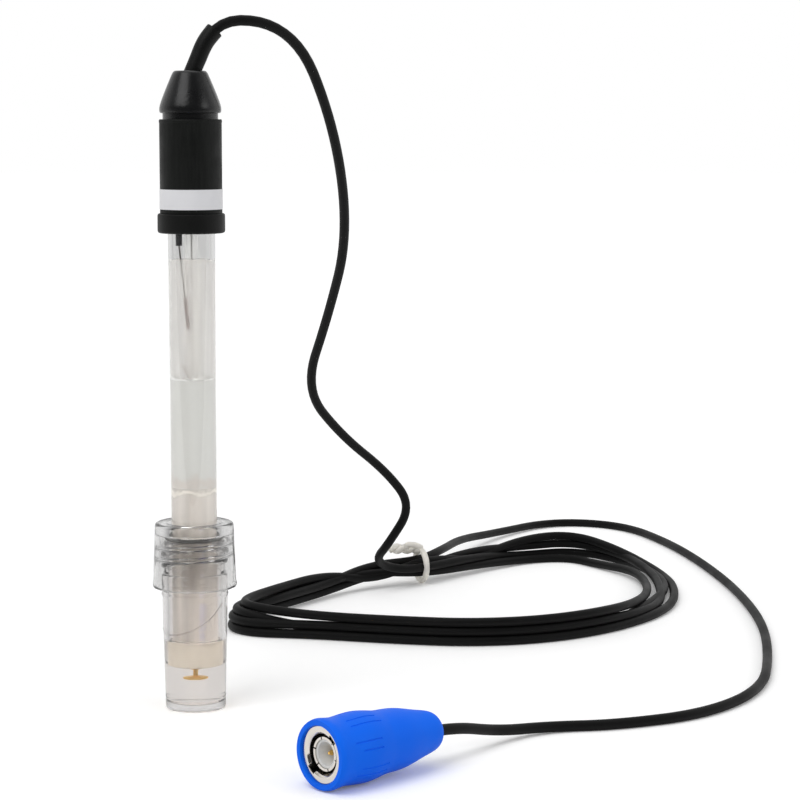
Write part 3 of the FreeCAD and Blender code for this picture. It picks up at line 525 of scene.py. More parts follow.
def grained(name, dark, pale, low, high, bump, grain=3000.0, smudges=90.0, depth=0.1,
            **fixed):
    """A moulded finish: two tones by smudge, roughness from low to high, and a fine grain."""
    finish, shader, tree = new_finish(name, **fixed)
    grain_node = grain_of(tree, grain, smudges, low, high, (-700, 0))
    tone = mix(tree, (-350, 250), dark, pale)
    relief = relief_of(tree, bump, depth, (-350, -250))
    connect(tree, (grain_node, "Tone", tone, "Factor"),
            (tone, "Result", shader, "Base Color"),
            (grain_node, "Roughness", shader, "Roughness"),
            (grain_node, "Height", relief, "Height"),
            (relief, "Normal", shader, "Normal"))
    return finish


# %% Opaque finishes
matt_black = grained("matt_black_plastic", (0.003, 0.0033, 0.003), (0.008, 0.0085, 0.008),
                     0.42, 0.60, bump=0.5, grain=2200.0, Specular_IOR_Level=0.15)
gloss_black = grained("gloss_black_plastic", (0.003, 0.0032, 0.0035), (0.007, 0.0072, 0.008),
                      0.22, 0.34, bump=0.35, grain=1500.0, Specular_IOR_Level=0.40)
cable_black = grained("black_cord_sheath", (0.003, 0.003, 0.003), (0.006, 0.006, 0.006),
                      0.50, 0.62, bump=0.2, grain=1800.0, smudges=60.0, Specular_IOR_Level=0.12)
boot_blue = grained("blue_soft_boot", (0.0, 0.115, 0.80), (0.0, 0.15, 0.93),
                    0.45, 0.60, bump=0.25, grain=2600.0, smudges=70.0, Specular_IOR_Level=0.14)
white_band = grained("white_label_film", (0.66, 0.66, 0.68), (0.76, 0.76, 0.78),
                     0.35, 0.50, bump=0.05, smudges=140.0)
cream_ceramic = grained("cream_ceramic", (0.36, 0.34, 0.29), (0.47, 0.435, 0.37),
                        0.60, 0.80, bump=0.4, smudges=400.0)
white_insulator = grained("white_insulator", (0.62, 0.62, 0.60), (0.76, 0.76, 0.74),
                          0.28, 0.42, bump=0.08, smudges=250.0)
dark_resin = grained("dark_potting_resin", (0.015, 0.015, 0.016), (0.05, 0.05, 0.055),
                     0.35, 0.55, bump=0.3, smudges=300.0)
seal_rubber = grained("grey_seal_rubber", (0.05, 0.05, 0.048), (0.11, 0.105, 0.10),
                      0.50, 0.65, bump=0.2)
coated_wire = grained("coated_reference_wire", (0.10, 0.055, 0.05), (0.24, 0.17, 0.16),
                      0.55, 0.75, bump=0.5, smudges=900.0)
wick_thread = grained("wick_thread", (0.16, 0.12, 0.11), (0.32, 0.26, 0.24),
                      0.80, 0.95, bump=0.5, smudges=1500.0)
print("opaque finishes:", len(bpy.data.materials))

# %% Metal finishes
bright_nickel = grained("nickel_plate", (0.62, 0.58, 0.53), (0.74, 0.70, 0.65),
                        0.10, 0.20, bump=0.04, smudges=300.0, Metallic=1.0)
dull_steel = grained("spring_steel", (0.34, 0.33, 0.32), (0.48, 0.47, 0.46),
                     0.30, 0.42, bump=0.1, smudges=400.0, Metallic=1.0)
silver_wire = grained("silver_wire", (0.32, 0.30, 0.29), (0.52, 0.50, 0.48),
                      0.30, 0.45, bump=0.1, smudges=700.0, Metallic=1.0)
warm_gold = grained("gold_plate", (0.78, 0.45, 0.10), (0.90, 0.58, 0.18),
                    0.18, 0.30, bump=0.06, smudges=500.0, Metallic=1.0)
sensor_gold = grained("gold_sensor", (0.72, 0.36, 0.04), (0.98, 0.72, 0.22),
                      0.25, 0.40, bump=0.3, smudges=900.0, Metallic=0.75)
print("with the metals:", len(bpy.data.materials))

# %% [markdown]
# Clear mouldings are see-through, so their shader keeps a plain Transmission Weight, and only
# the tone, the roughness and the surface normal change a little. The slow noise in the normal
# gives the wavy highlights of a cheap clear bottle.


# %% Clear finishes
FLOW_DEPTH = 1.0
DIMMEST = 0.97


def clear(name, tint, rough, ior, flow_scale, flow, least_rough=0.0, **fixed):
    """A see-through finish with slow flow marks in its surface."""
    dim = tuple(DIMMEST * part for part in tint)
    return grained(name, dim, tint, least_rough, rough, bump=flow, grain=flow_scale,
                   smudges=2 * flow_scale, depth=FLOW_DEPTH,
                   **{"Transmission_Weight": 1.0, "IOR": ior, **fixed})


PLASTIC_BEND = 1.49
WATER_BEND = 1.33
clear_bottle = clear("clear_bottle_moulding", (0.988, 0.968, 0.956), 0.03, PLASTIC_BEND,
                     90.0, 0.20)
clear_cap = clear("clear_cap_moulding", (0.982, 0.978, 0.972), 0.02, PLASTIC_BEND, 110.0, 0.15)
clear_shaft = clear("clear_shaft_tube", (0.98, 0.98, 0.975), 0.02, PLASTIC_BEND, 60.0, 0.04)
wet_wall = clear("wet_plastic_wall", (0.990, 0.963, 0.945), 0.01, PLASTIC_BEND / WATER_BEND,
                 90.0, 0.05)
water_top = clear("storage_solution_top", (0.95, 0.93, 0.90), 0.01, WATER_BEND, 60.0, 0.03)
water_side = clear("storage_solution_side", (0.90, 0.86, 0.80), 0.0, WATER_BEND, 60.0, 0.0,
                   Transmission_Weight=0.0, Alpha=0.03, Specular_IOR_Level=0.0)
clear_inner = clear("clear_inner_tube", (0.86, 0.86, 0.84), 0.1, PLASTIC_BEND, 80.0, 0.03,
                    Transmission_Weight=0.0, Alpha=0.16)
milky_tie = clear("milky_tie_plastic", (0.93, 0.905, 0.85), 0.34, 1.40, 300.0, 0.02,
                  least_rough=0.28, Transmission_Weight=0.40)
print("clear finishes made")

# %% [markdown]
# The gels between the tubes are milky: they hide most of what is behind, and let a little of
# it through. A part-way Alpha does that with one surface. The colour and the cover follow
# streaks that run down the shaft, made by noise squeezed along Z. Where two fillings meet, a
# cloudy band shows: its height is the object's own Z, made ragged by a slower noise.


# %% Gel finish
STREAK_SQUEEZE = (1, 1, 0.05)
STREAK_SPREAD = 0.35, 0.65
BAND_SWAY = 6.0


def gel(name, dark, pale, thin, thick, band, band_colour, band_depth=2.5):
    """A milky filling with upright streaks, and a cloudy band at one height in millimetres."""
    finish, shader, tree = new_finish(name, Roughness=0.5, Specular_IOR_Level=0.1)
    place = add_node(tree, "TexCoord", (-1500, 0))
    squeeze = add_node(tree, "Mapping", (-1300, 0), {"Scale": STREAK_SQUEEZE})
    streaks = add_node(tree, "TexNoise", (-1100, 0), {"Scale": 220.0, "Detail": 2.0})
    tint = mix(tree, (-500, 250), dark, pale)
    cover = to_range(tree, (-500, -150), STREAK_SPREAD, (thin, thick))
    axes = add_node(tree, "SeparateXYZ", (-1300, 400))
    ragged = add_node(tree, "TexNoise", (-1300, 600), {"Scale": 260.0, "Detail": 2.0})
    sway = add_node(tree, "Math", (-1100, 500), {1: BAND_SWAY * MM}, operation="MULTIPLY_ADD")
    near = add_node(tree, "Math", (-900, 500), {1: (band + BAND_SWAY / 2) * MM},
                    operation="SUBTRACT")
    away = add_node(tree, "Math", (-700, 500), operation="ABSOLUTE")
    cloud = to_range(tree, (-500, 550), (0.0, band_depth * MM), (1.0, 0.0), "SMOOTHSTEP")
    banded = mix(tree, (-250, 300), dark, band_colour)
    thicker = add_node(tree, "Math", (-250, -100), operation="MAXIMUM")
    connect(tree, (place, "Object", squeeze, "Vector"),
            (place, "Object", axes, "Vector"),
            (place, "Object", ragged, "Vector"),
            (squeeze, "Vector", streaks, "Vector"),
            (streaks, "Fac", tint, "Factor"),
            (streaks, "Fac", cover, "Value"),
            (ragged, "Fac", sway, 0),
            (axes, "Z", sway, 2),
            (sway, 0, near, 0),
            (near, 0, away, 0),
            (away, 0, cloud, "Value"),
            (cloud, "Result", banded, "Factor"),
            (tint, "Result", banded, "A"),
            (banded, "Result", shader, "Base Color"),
            (cover, "Result", thicker, 0),
            (cloud, "Result", thicker, 1),
            (thicker, 0, shader, "Alpha"))
    return finish


lower_gel = gel("pink_beige_gel", (0.78, 0.71, 0.65), (0.90, 0.85, 0.79), 0.45, 0.75,
                58.0, (0.84, 0.80, 0.73))
middle_gel = gel("milky_grey_gel", (0.65, 0.645, 0.615), (0.73, 0.73, 0.705), 0.95, 0.99,
                 60.5, (0.66, 0.62, 0.58))
upper_gel = gel("faint_pink_gel", (0.84, 0.79, 0.76), (0.91, 0.91, 0.87), 0.32, 0.50,
                87.6, (0.86, 0.86, 0.84), 1.2)
print("gel finishes made")

# %% [markdown]
# The small parts inside the head, the tubes and the plug keep the CAD's meshes, because little
# of them shows. Each one only gets its finish.

# %% Finishes of the CAD parts that stay
CAD_FINISHES = {
    "junction_pin": cream_ceramic,
    "sensor_lead": silver_wire, "reference_wire": silver_wire, "reference_lead": silver_wire,
    "reference_coat": coated_wire, "reference_wick": wick_thread, "wire_splice": dark_resin,
    "potting_plug": dark_resin, "seal_ring": seal_rubber, "inner_tube": clear_inner,
    "mouth_gasket": seal_rubber, "wave_washer": dull_steel,
    "thrust_washer": dull_steel, "retaining_ring": dull_steel, "crimp_ferrule": bright_nickel,
}
for node, finish in CAD_FINISHES.items():
    dress(frame["nodes"][node], finish)
dress(cord, cable_black)
print("dressed", len(CAD_FINISHES), "CAD parts")

# %% [markdown]
# ## Turned pieces
# Most of this object was turned or moulded round an axis. Such a piece can be spun from a
# profile, but here it grows ring by ring: a circle is extruded upwards and resized, as a potter
# would pull up a wall, because every ring then sits exactly at its radius and height on the
# drawing.


# %% Turned pieces
SAME_POINT = 0.001


def close_skin(merge=None, flatten=None):
    """Closes the active mesh: merges points within a distance in millimetres, or else fills
    its open ends. Then it joins flat areas, if asked, and turns every face outwards."""
    bpy.ops.object.mode_set(mode="EDIT")
    bpy.ops.mesh.select_all(action="SELECT")
    if merge:
        bpy.ops.mesh.remove_doubles(threshold=merge * MM)
    else:
        bpy.ops.mesh.fill_holes(sides=0)
    if flatten:
        bpy.ops.mesh.dissolve_limited(angle_limit=math.radians(flatten))
    bpy.ops.mesh.select_all(action="SELECT")
    bpy.ops.mesh.normals_make_consistent(inside=False)
    bpy.ops.object.mode_set(mode="OBJECT")


def turned_piece(name, outline, tube=False):
    """A piece turned about Z from (radius, height) corners in millimetres.
    A tube's outline closes on itself, and any other piece gets flat ends."""
    corners = outline + outline[:1] if tube else outline
    radius, height = corners[0]
    bpy.ops.object.select_all(action="DESELECT")
    bpy.ops.mesh.primitive_circle_add(
        vertices=RING_STEPS, radius=radius * MM, location=(0, 0, height * MM))
    piece = bpy.context.object
    piece.name = piece.data.name = name
    bpy.ops.object.transform_apply(location=True, rotation=True, scale=True)
    bpy.ops.object.mode_set(mode="EDIT")
    bpy.ops.mesh.select_all(action="SELECT")
    for next_radius, next_height in corners[1:]:
        bpy.ops.mesh.extrude_region_move(
            TRANSFORM_OT_translate={"value": (0, 0, (next_height - height) * MM)})
        growth = next_radius / radius
        bpy.ops.transform.resize(
            value=(growth, growth, 1), center_override=(0, 0, next_height * MM))
        radius, height = next_radius, next_height
    close_skin(merge=SAME_POINT if tube else None)
    return piece


# %% [markdown]
# Smooth shading lets each corner bend the light over the whole length of the walls beside it.
# In clear pieces that shows as dark patches, so the normals are weighted by the faces' sizes:
# long walls stay straight, and only the small faces of a rounded edge turn.


# %% Smooth shading and soft edges
def shade(piece, angle):
    """Shades a piece smooth up to an angle, and keeps the shading of large faces straight."""
    select_only(piece)
    bpy.ops.object.shade_smooth_by_angle(angle=math.radians(angle))
    weighting = piece.modifiers.new("weighting", "WEIGHTED_NORMAL")
    weighting.keep_sharp = True
    bpy.ops.object.modifier_apply(modifier=weighting.name)
    return piece


def soften(piece, width, segments=3, angle=30, smooth=35):
    """Rounds the piece's sharp edges by a width in millimetres and shades it smooth."""
    select_only(piece)
    rounding = piece.modifiers.new("rounding", "BEVEL")
    rounding.width = width * MM
    rounding.segments = segments
    rounding.limit_method = "ANGLE"
    rounding.angle_limit = math.radians(angle)
    bpy.ops.object.modifier_apply(modifier=rounding.name)
    return shade(piece, smooth)


# %% Taking a CAD part's place
def stands_for(piece, node):
    """Lets a piece take a CAD part's place: it rides on the same body, and the CAD part is
    hidden.
    """
    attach(piece, frame["nodes"][node]["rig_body"])
    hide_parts(node)


# %% [markdown]
# ## The storage bottle
# A cheap injection-moulded bottle: a slightly tapered body, a stepped neck with a coarse thread
# and a foot with a shallow push-up. A Screw modifier lifts a small rounded profile round the
# axis for the thread, and a Boolean joins it to the wall. Joining matters here, because a
# see-through piece must have no faces left inside it.

# %% Thread helpers
THREAD_PITCH = 3.0


def screw_thread(name, radius, depth, half_height, start, turns):
    """A rounded helical ridge about Z, its middle at the given radius and start height.
    Its blunt ends are at the back."""
    bpy.ops.object.select_all(action="DESELECT")
    bpy.ops.mesh.primitive_circle_add(
        vertices=12, radius=1 * MM, rotation=(math.radians(90), 0, 0),
        location=(radius * MM, 0, start * MM))
    thread_piece = bpy.context.object
    thread_piece.name = thread_piece.data.name = name
    settle(thread_piece)
    bpy.ops.object.mode_set(mode="EDIT")
    bpy.ops.mesh.select_all(action="SELECT")
    bpy.ops.transform.resize(
        value=(depth, 1, half_height), center_override=(radius * MM, 0, start * MM))
    bpy.ops.object.mode_set(mode="OBJECT")
    lift = thread_piece.modifiers.new("lift", "SCREW")
    lift.axis = "Z"
    lift.angle = 2 * math.pi * turns
    lift.screw_offset = THREAD_PITCH * MM * turns
    lift.steps = lift.render_steps = int(RING_STEPS * turns)
    bpy.ops.object.modifier_apply(modifier=lift.name)
    close_skin()
    thread_piece.data.transform(Matrix.Rotation(math.radians(90), 4, "Z"))
    return thread_piece


def join_to(piece, other):
    """Makes one closed skin of two pieces that overlap, and removes the second."""
    select_only(piece)
    weld = piece.modifiers.new("weld", "BOOLEAN")
    weld.operation = "UNION"
    weld.solver = "EXACT"
    weld.object = other
    bpy.ops.object.modifier_apply(modifier=weld.name)
    bpy.data.objects.remove(other)


# %% Storage bottle
BOTTLE_BORE = 6.9
BOTTLE_FLOOR = 1.6
WATER_LEVEL = 18.4

bottle = turned_piece("bottle", [
    (5.6, 0.45), (6.6, 0.30), (7.1, 0.04), (7.5, 0.0), (7.8, 0.12), (7.97, 0.45), (8.0, 0.9),
    (8.02, 2.3), (7.9, 2.5), (7.9, 2.8), (8.05, 3.0), (8.25, 12.5), (8.38, WATER_LEVEL),
    (8.58, 28.5), (8.6, 30.0), (8.78, 30.3), (8.82, 30.7), (8.78, 31.1), (8.6, 31.4),
    (8.6, 36.1), (8.5, 36.4), (8.15, 36.5), (8.05, 36.7), (8.05, 44.4), (7.95, 44.7),
    (7.7, 44.88), (7.2, 44.88), (6.98, 44.75), (BOTTLE_BORE, 44.5), (BOTTLE_BORE, WATER_LEVEL),
    (BOTTLE_BORE, 2.6), (6.75, 2.05), (6.4, 1.75), (5.8, BOTTLE_FLOOR),
])
join_to(bottle, screw_thread("neck_thread", 8.2, 0.70, 0.72, 37.6, 2))
soften(bottle, 0.05, segments=2, angle=50, smooth=40)
print("bottle:", len(bottle.data.polygons), "faces")

# %% [markdown]
# Light bends less where the wall is wet than where it meets air. So the faces of the bore below
# the water get a second material, whose index of refraction is plastic's divided by water's.
# The water then seems to fill the bottle right up to its wall, and makes the tip look wide.


# %% Wetted walls
def wet_below(piece, level, reach, inside):
    """Gives the second material to the faces in the water: within a radius, or outside it."""
    piece.data.materials.append(wet_wall)
    count = 0
    for face in piece.data.polygons:
        middle = face.center / MM
        radius = math.hypot(middle.x, middle.y)
        is_wet = radius < reach if inside else radius > reach
        if is_wet and middle.z < level and (not inside or middle.z > BOTTLE_FLOOR - 0.1):
            face.material_index = 1
            count += 1
    return count


dress(bottle, clear_bottle)
print("wet faces of the bottle:", wet_below(bottle, WATER_LEVEL, BOTTLE_BORE + 0.01, True))
stands_for(bottle, "storage_bottle")

# %% [markdown]
# A thin raised knit line, left where the plastic met in the mould, crosses the front of the
# bottle and climbs to the right. It's a fine bead along a smooth curve on the wall, so a
# bevelled NURBS curve is the natural tool.


# %% Curved rods
def curved_rod(name, points, radius, sides=4, widths=None):
    """A round rod along a smooth line through millimetre points, with closed ends."""
    rod = smooth_line(name, [[part * MM for part in point] for point in points], 8, widths)
    thicken(rod, radius, sides)
    bpy.ops.object.shade_smooth_by_angle(angle=math.radians(50))
    return rod


# %% Knit line on the bottle
WALL_AT_WATER = 8.38
WALL_DRAFT = 0.02
KNIT_RADIUS = 0.19
KNIT_LINE = [(-88, 21.2), (-70, 20.4), (-45, 20.3), (-20, 21.0), (5, 22.4), (25, 24.0),
             (42, 26.0), (60, 28.6)]
knit_points = []
for turn, height in KNIT_LINE:
    reach = WALL_AT_WATER + WALL_DRAFT * (height - WATER_LEVEL)
    knit_points.append((reach * math.sin(math.radians(turn)),
                        -reach * math.cos(math.radians(turn)), height))
knit_line = dress(curved_rod("knit_line", knit_points, KNIT_RADIUS), clear_bottle)
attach(knit_line, "base")
print("knit line:", len(knit_line.data.polygons), "faces")

# %% [markdown]
# ## The water and the shaft in it
# The storage solution needs only its top to bend light, because its other sides are the wet
# walls. Its closed body keeps those sides as a faint tint that bends nothing.

# %% Storage solution
SHAFT_TIP = lowest("outer_tube")
solution = turned_piece("solution", [
    (6.85, 2.6), (6.85, WATER_LEVEL + 0.35), (6.6, WATER_LEVEL + 0.08), (6.4, WATER_LEVEL),
    (6.15, WATER_LEVEL + 0.05), (6.05, WATER_LEVEL + 0.3), (6.05, SHAFT_TIP - 0.1),
    (2.8, SHAFT_TIP - 0.1), (2.8, 7.6), (2.0, 7.6), (2.0, 2.0), (6.4, 2.0),
], tube=True)
dress(shade(solution, 50), water_side)
solution.data.materials.append(water_top)
for face in solution.data.polygons:
    if face.center.z > (WATER_LEVEL - 0.3) * MM and face.normal.z > 0.15:
        face.material_index = 1
stands_for(solution, "storage_solution")
print("solution to", WATER_LEVEL, "mm")

# %% Outer tube
TUBE_BORE = 4.85
shaft = turned_piece("shaft", [
    (TUBE_BORE, SHAFT_TIP), (5.6, SHAFT_TIP), (5.88, SHAFT_TIP + 0.12),
    (6.0, SHAFT_TIP + 0.4), (6.0, WATER_LEVEL), (6.0, 84.0), (6.06, 95.0), (6.13, 109.0),
    (6.2, 122.0), (6.2, 132.9), (TUBE_BORE, 132.9), (TUBE_BORE, WATER_LEVEL),
], tube=True)
dress(shade(shaft, 50), clear_shaft)
print("wet faces of the shaft:", wet_below(shaft, WATER_LEVEL, TUBE_BORE + 0.1, False))
stands_for(shaft, "outer_tube")

# %% [markdown]
# The seat and the fillings touch the tube's bore. Drawn a hair wider than the bore, they lie in
# the plastic, so no thin film of air is left between them to mirror the light away at the
# edges. The water round the tube makes the seat look as wide as the bottle.

# %% Tip seat
FILLED_REACH = TUBE_BORE + 0.03
seat = turned_piece("seat", [
    (0.8, SHAFT_TIP), (FILLED_REACH, SHAFT_TIP), (FILLED_REACH, highest("tip_seat")),
    (0.8, highest("tip_seat")),
], tube=True)
dress(shade(seat, 50), cream_ceramic)
stands_for(seat, "tip_seat")
print("seat from", SHAFT_TIP, "to", highest("tip_seat"), "mm")

# %% [markdown]
# The sensor is a thin gold-coloured disc with soft edges on a stem. It's turned like the tubes,
# with a thinner stem than in the CAD, because that's what shows in the water.

# %% Sensor tip
SENSOR_FOOT = lowest("sensor_tip")
SENSOR_REACH = half_width("sensor_tip")
sensor = turned_piece("sensor", [
    (0.8 * SENSOR_REACH, SENSOR_FOOT), (SENSOR_REACH, SENSOR_FOOT + 0.2),
    (SENSOR_REACH, SENSOR_FOOT + 0.5), (0.85 * SENSOR_REACH, SENSOR_FOOT + 0.7),
    (0.8, SENSOR_FOOT + 0.8), (0.5, SENSOR_FOOT + 1.0), (0.5, SHAFT_TIP - 1.1),
    (1.1, SHAFT_TIP - 0.9), (1.1, SHAFT_TIP - 0.5), (0.6, SHAFT_TIP - 0.35),
    (0.6, highest("sensor_tip")),
])
dress(shade(sensor, 40), sensor_gold)
stands_for(sensor, "sensor_tip")
print("sensor from", round(SENSOR_FOOT, 1), "mm")

# %% Fillings between the tubes
INNER_REACH = 2.02
for name, node, finish, slot_name in (
        ("lower_filling", "lower_gel", lower_gel, "pink_beige_gel"),
        ("middle_filling", "middle_gel", middle_gel, "milky_gel"),
        ("upper_filling", "upper_gel", upper_gel, "faint_pink_gel")):
    foot, head = lowest(node), highest(node)
    filling = turned_piece(name, [
        (INNER_REACH, foot), (FILLED_REACH, foot), (FILLED_REACH, head), (INNER_REACH, head),
    ], tube=True)
    dress(shade(filling, 50), finish)
    stands_for(filling, node)
    print(name, "from", round(foot, 1), "to", round(head, 1), "mm")

# %% [markdown]
# ## The screw cap
# The cap is one clear moulding too: a flared skirt, a wall with a thread inside, and a lid with
# a hole for the shaft.

# %% Screw cap
cap = turned_piece("cap", [
    (6.8, 46.64), (8.9, 46.64), (9.1, 46.5), (9.15, 46.2), (9.15, 37.4), (9.25, 37.0),
    (9.8, 33.2), (9.95, 32.8), (10.2, 32.55), (10.7, 32.5), (11.0, 32.65), (11.1, 33.0),
    (11.08, 33.9), (10.95, 34.2), (10.4, 48.8), (10.3, 49.25), (9.9, 49.6), (9.5, 49.64),
    (9.3, 49.5), (7.5, 49.5), (7.3, 49.64), (6.95, 49.6), (6.8, 49.4),
], tube=True)
join_to(cap, screw_thread("cap_thread", 9.1, 0.78, 0.66, 39.3, 2))
soften(cap, 0.05, segments=2, angle=50, smooth=40)
dress(cap, clear_cap)
stands_for(cap, "bottle_cap")
print("cap:", len(cap.data.polygons), "faces")

# %% [markdown]
# ## The head
# The head is black plastic: a rounded collar, a matt grip with a fine upright brushing, a bare
# white label round it, and a glossier cap that tapers to the cord.

# %% Brushed grip finish
GRIP_SQUEEZE = (1, 1, 0.06)
grip_black, grip_shader, grip_tree = new_finish("brushed_black_grip", Specular_IOR_Level=0.15)
grip_place = add_node(grip_tree, "TexCoord", (-1300, 0))
grip_squeeze = add_node(grip_tree, "Mapping", (-1100, 0), {"Scale": GRIP_SQUEEZE})
grip_lines = add_node(grip_tree, "TexNoise", (-900, 0), {"Scale": 1500.0, "Detail": 3.0})
grip_grain = grain_of(grip_tree, 2600.0, 160.0, 0.45, 0.65, (-900, -300))
grip_tone = mix(grip_tree, (-400, 250), (0.002, 0.0025, 0.0022), (0.011, 0.012, 0.011))
grip_height = add_node(grip_tree, "Math", (-600, -200), operation="ADD")
grip_relief = relief_of(grip_tree, 0.45, 0.08, (-400, -200))
connect(grip_tree, (grip_place, "Object", grip_squeeze, "Vector"),
        (grip_squeeze, "Vector", grip_lines, "Vector"),
        (grip_lines, "Fac", grip_tone, "Factor"),
        (grip_lines, "Fac", grip_height, 0),
        (grip_grain, "Height", grip_height, 1),
        (grip_height, 0, grip_relief, "Height"),
        (grip_tone, "Result", grip_shader, "Base Color"),
        (grip_grain, "Roughness", grip_shader, "Roughness"),
        (grip_relief, "Normal", grip_shader, "Normal"))
print("grip finish made")

# %% Collar, grip and label
HEAD_BORE = 6.25
collar = turned_piece("collar", [
    (HEAD_BORE, 125.8), (8.2, 125.8), (8.6, 125.95), (8.8, 126.4), (8.8, 130.3), (8.68, 130.75),
    (8.4, 130.9), (HEAD_BORE, 130.9),
], tube=True)
dress(soften(collar, 0.12), matt_black)
stands_for(collar, "collar_ring")

grip = turned_piece("grip", [
    (HEAD_BORE, 130.92), (8.1, 130.92), (8.1, 154.3), (8.17, 154.45), (8.17, 154.95),
    (8.0, 155.2), (6.0, 155.2), (6.0, 133.1), (HEAD_BORE, 133.0),
], tube=True)
dress(soften(grip, 0.05, segments=2), grip_black)
stands_for(grip, "grip_sleeve")

label = turned_piece("label", [
    (8.11, 132.0), (8.22, 132.0), (8.22, 137.2), (8.11, 137.2),
], tube=True)
dress(soften(label, 0.03, segments=2), white_band)
stands_for(label, "label_band")
print("collar, grip and label made")

# %% Head cap
head = turned_piece("head", [
    (1.5, 150.1), (5.8, 150.1), (5.8, 155.2), (7.2, 155.2), (7.2, 156.75), (7.7, 156.8),
    (7.95, 157.05), (8.02, 157.5), (8.0, 158.2), (7.85, 158.9), (7.5, 160.0), (6.85, 161.7),
    (5.95, 163.9), (5.05, 166.0), (4.6, 167.0), (4.3, 167.45), (3.9, 167.68), (3.4, 167.7),
    (2.25, 167.6), (2.2, 166.1), (1.5, 166.1),
], tube=True)
dress(shade(head, 35), gloss_black)
stands_for(head, "head_cap")
print("head cap:", len(head.data.polygons), "faces")

# %% [markdown]
# A sleeve is shrunk on the cord where it leaves the head. It follows the cord's own middle
# line, read from the curve above, and widens a little towards its cut end.

# %% Strain relief
SLEEVE_FOOT = 166.0
SLEEVE_LENGTH = 13.5
SLEEVE_RADIUS = 2.15
SLEEVE_WIDENING = 0.10
sleeve_line = [point for point in cord_path if point[2] / MM > SLEEVE_FOOT]
sleeve_points = [(0, 0, SLEEVE_FOOT)]
run_so_far = 0.0
for before, after in zip(sleeve_line, sleeve_line[1:]):
    run_so_far += math.dist(before, after) / MM
    if run_so_far > SLEEVE_LENGTH:
        break
    sleeve_points.append(tuple(part / MM for part in after))
count = len(sleeve_points)
sleeve_widths = [1.0 + SLEEVE_WIDENING * index / (count - 1) for index in range(count)]
sleeve = curved_rod("sleeve", sleeve_points, SLEEVE_RADIUS, sides=8, widths=sleeve_widths)
soften(sleeve, 0.25, angle=50)
dress(sleeve, matt_black)
stands_for(sleeve, "strain_relief")
print("sleeve of", count, "rings, to", [round(part, 1) for part in sleeve_points[-1]])

# %% [markdown]
# ## The plug
# Everything on the plug is turned about the plug's own axis. Each piece is made upright, with
# its height measured forward from the mouth, and is then laid along the axis by one matrix.

# %% Lay a piece along the plug
plug_turn = Vector((0, 0, 1)).rotation_difference(plug_forward).to_matrix().to_4x4()
plug_place = Matrix.Translation(plug_mouth) @ plug_turn


def lay_on_plug(piece):
    """Moves a piece's mesh from its own Z axis onto the plug's axis."""
    piece.data.transform(plug_place)
    piece.data.update()


# %% Blue boot
def curve_through(corners, steps):
    """A smooth outline through a few (radius, height) corners, by rounding each corner off."""
    points = [corners[0]]
    for before, corner, after in zip(corners, corners[1:], corners[2:]):
        start = [(b + c) / 2 for b, c in zip(before, corner)]
        end = [(c + a) / 2 for c, a in zip(corner, after)]
        for step in range(steps + 1):
            t = step / steps
            points.append(tuple(
                (1 - t) ** 2 * s + 2 * t * (1 - t) * c + t ** 2 * e
                for s, c, e in zip(start, corner, end)))
    points.append(corners[-1])
    return points


BOOT_OUTSIDE = curve_through([
    (8.42, -0.5), (8.62, -1.3), (8.35, -3.0), (8.12, -5.2), (8.45, -8.4), (8.62, -11.5),
    (8.30, -14.2), (7.95, -16.2), (7.62, -18.0), (7.55, -21.7), (7.30, -24.2), (6.75, -26.8),
    (5.85, -30.4), (5.30, -33.2), (4.65, -35.3), (3.40, -36.4), (2.25, -36.6),
], steps=3)
boot = turned_piece("boot", [(6.88, -0.35), (7.05, 0.0), (8.2, 0.0)] + BOOT_OUTSIDE + [
    (2.05, -36.4), (1.72, -29.0), (4.2, -29.0), (4.2, -27.0), (6.0, -20.0), (6.0, -14.1),
    (6.88, -14.1),
], tube=True)
select_only(boot)
print("boot:", len(boot.data.polygons), "faces")

# %% [markdown]
# Fine moulded lines give the fingers a hold. They're strips of faces on the front of the boot,
# inset and pushed in a little, in pairs all the way round.

# %% Grip lines on the boot
GRIP_LINES = [8, 20, 52, 64, 98, 110, 142, 156, 188, 200, 232, 244, 278, 290, 322, 336]
LINE_WIDTH = 360 / RING_STEPS
LINE_INSET = 0.10
LINE_DEPTH = 0.16
bpy.ops.object.mode_set(mode="EDIT")
bpy.ops.mesh.select_all(action="DESELECT")
bpy.ops.object.mode_set(mode="OBJECT")
for face in boot.data.polygons:
    middle = face.center / MM
    turn = math.degrees(math.atan2(middle.y, middle.x)) % 360
    outside = math.hypot(middle.x, middle.y) > 7.9
    on_line = any(abs(turn - line) < LINE_WIDTH / 2 for line in GRIP_LINES)
    ends = -5.0 - 1.5 * math.sin(turn), -14.0 + 1.2 * math.cos(2.3 * turn)
    face.select = outside and on_line and ends[1] < middle.z < ends[0]
bpy.ops.object.mode_set(mode="EDIT")
bpy.ops.mesh.inset(thickness=LINE_INSET * MM, depth=-LINE_DEPTH * MM)
bpy.ops.object.mode_set(mode="OBJECT")
shade(boot, 40)
lay_on_plug(boot)
dress(boot, boot_blue)
stands_for(boot, "plug_boot")
print("boot with grip lines:", len(boot.data.polygons), "faces")

# %% [markdown]
# ## Metal of the plug
# The slotted metal pieces are already right as the CAD made them, except that real edges are
# never quite sharp. So each is copied, its loose triangles are merged, flat areas are joined
# again, and a tiny bevel gives the edges the bright line that turned metal has.


# %% Finished copies
def finished_copy(node, name, edge, finish):
    """A copy of a CAD node with merged triangles and softened edges."""
    source = frame["nodes"][node]
    piece = bpy.data.objects.new(name, source.data.copy())
    bpy.context.scene.collection.objects.link(piece)
    piece.data.transform(source.matrix_world)
    select_only(piece)
    close_skin(merge=2 * SAME_POINT, flatten=0.5)
    dress(soften(piece, edge, segments=2, angle=40), finish)
    stands_for(piece, node)
    print(name, len(piece.data.polygons), "faces")


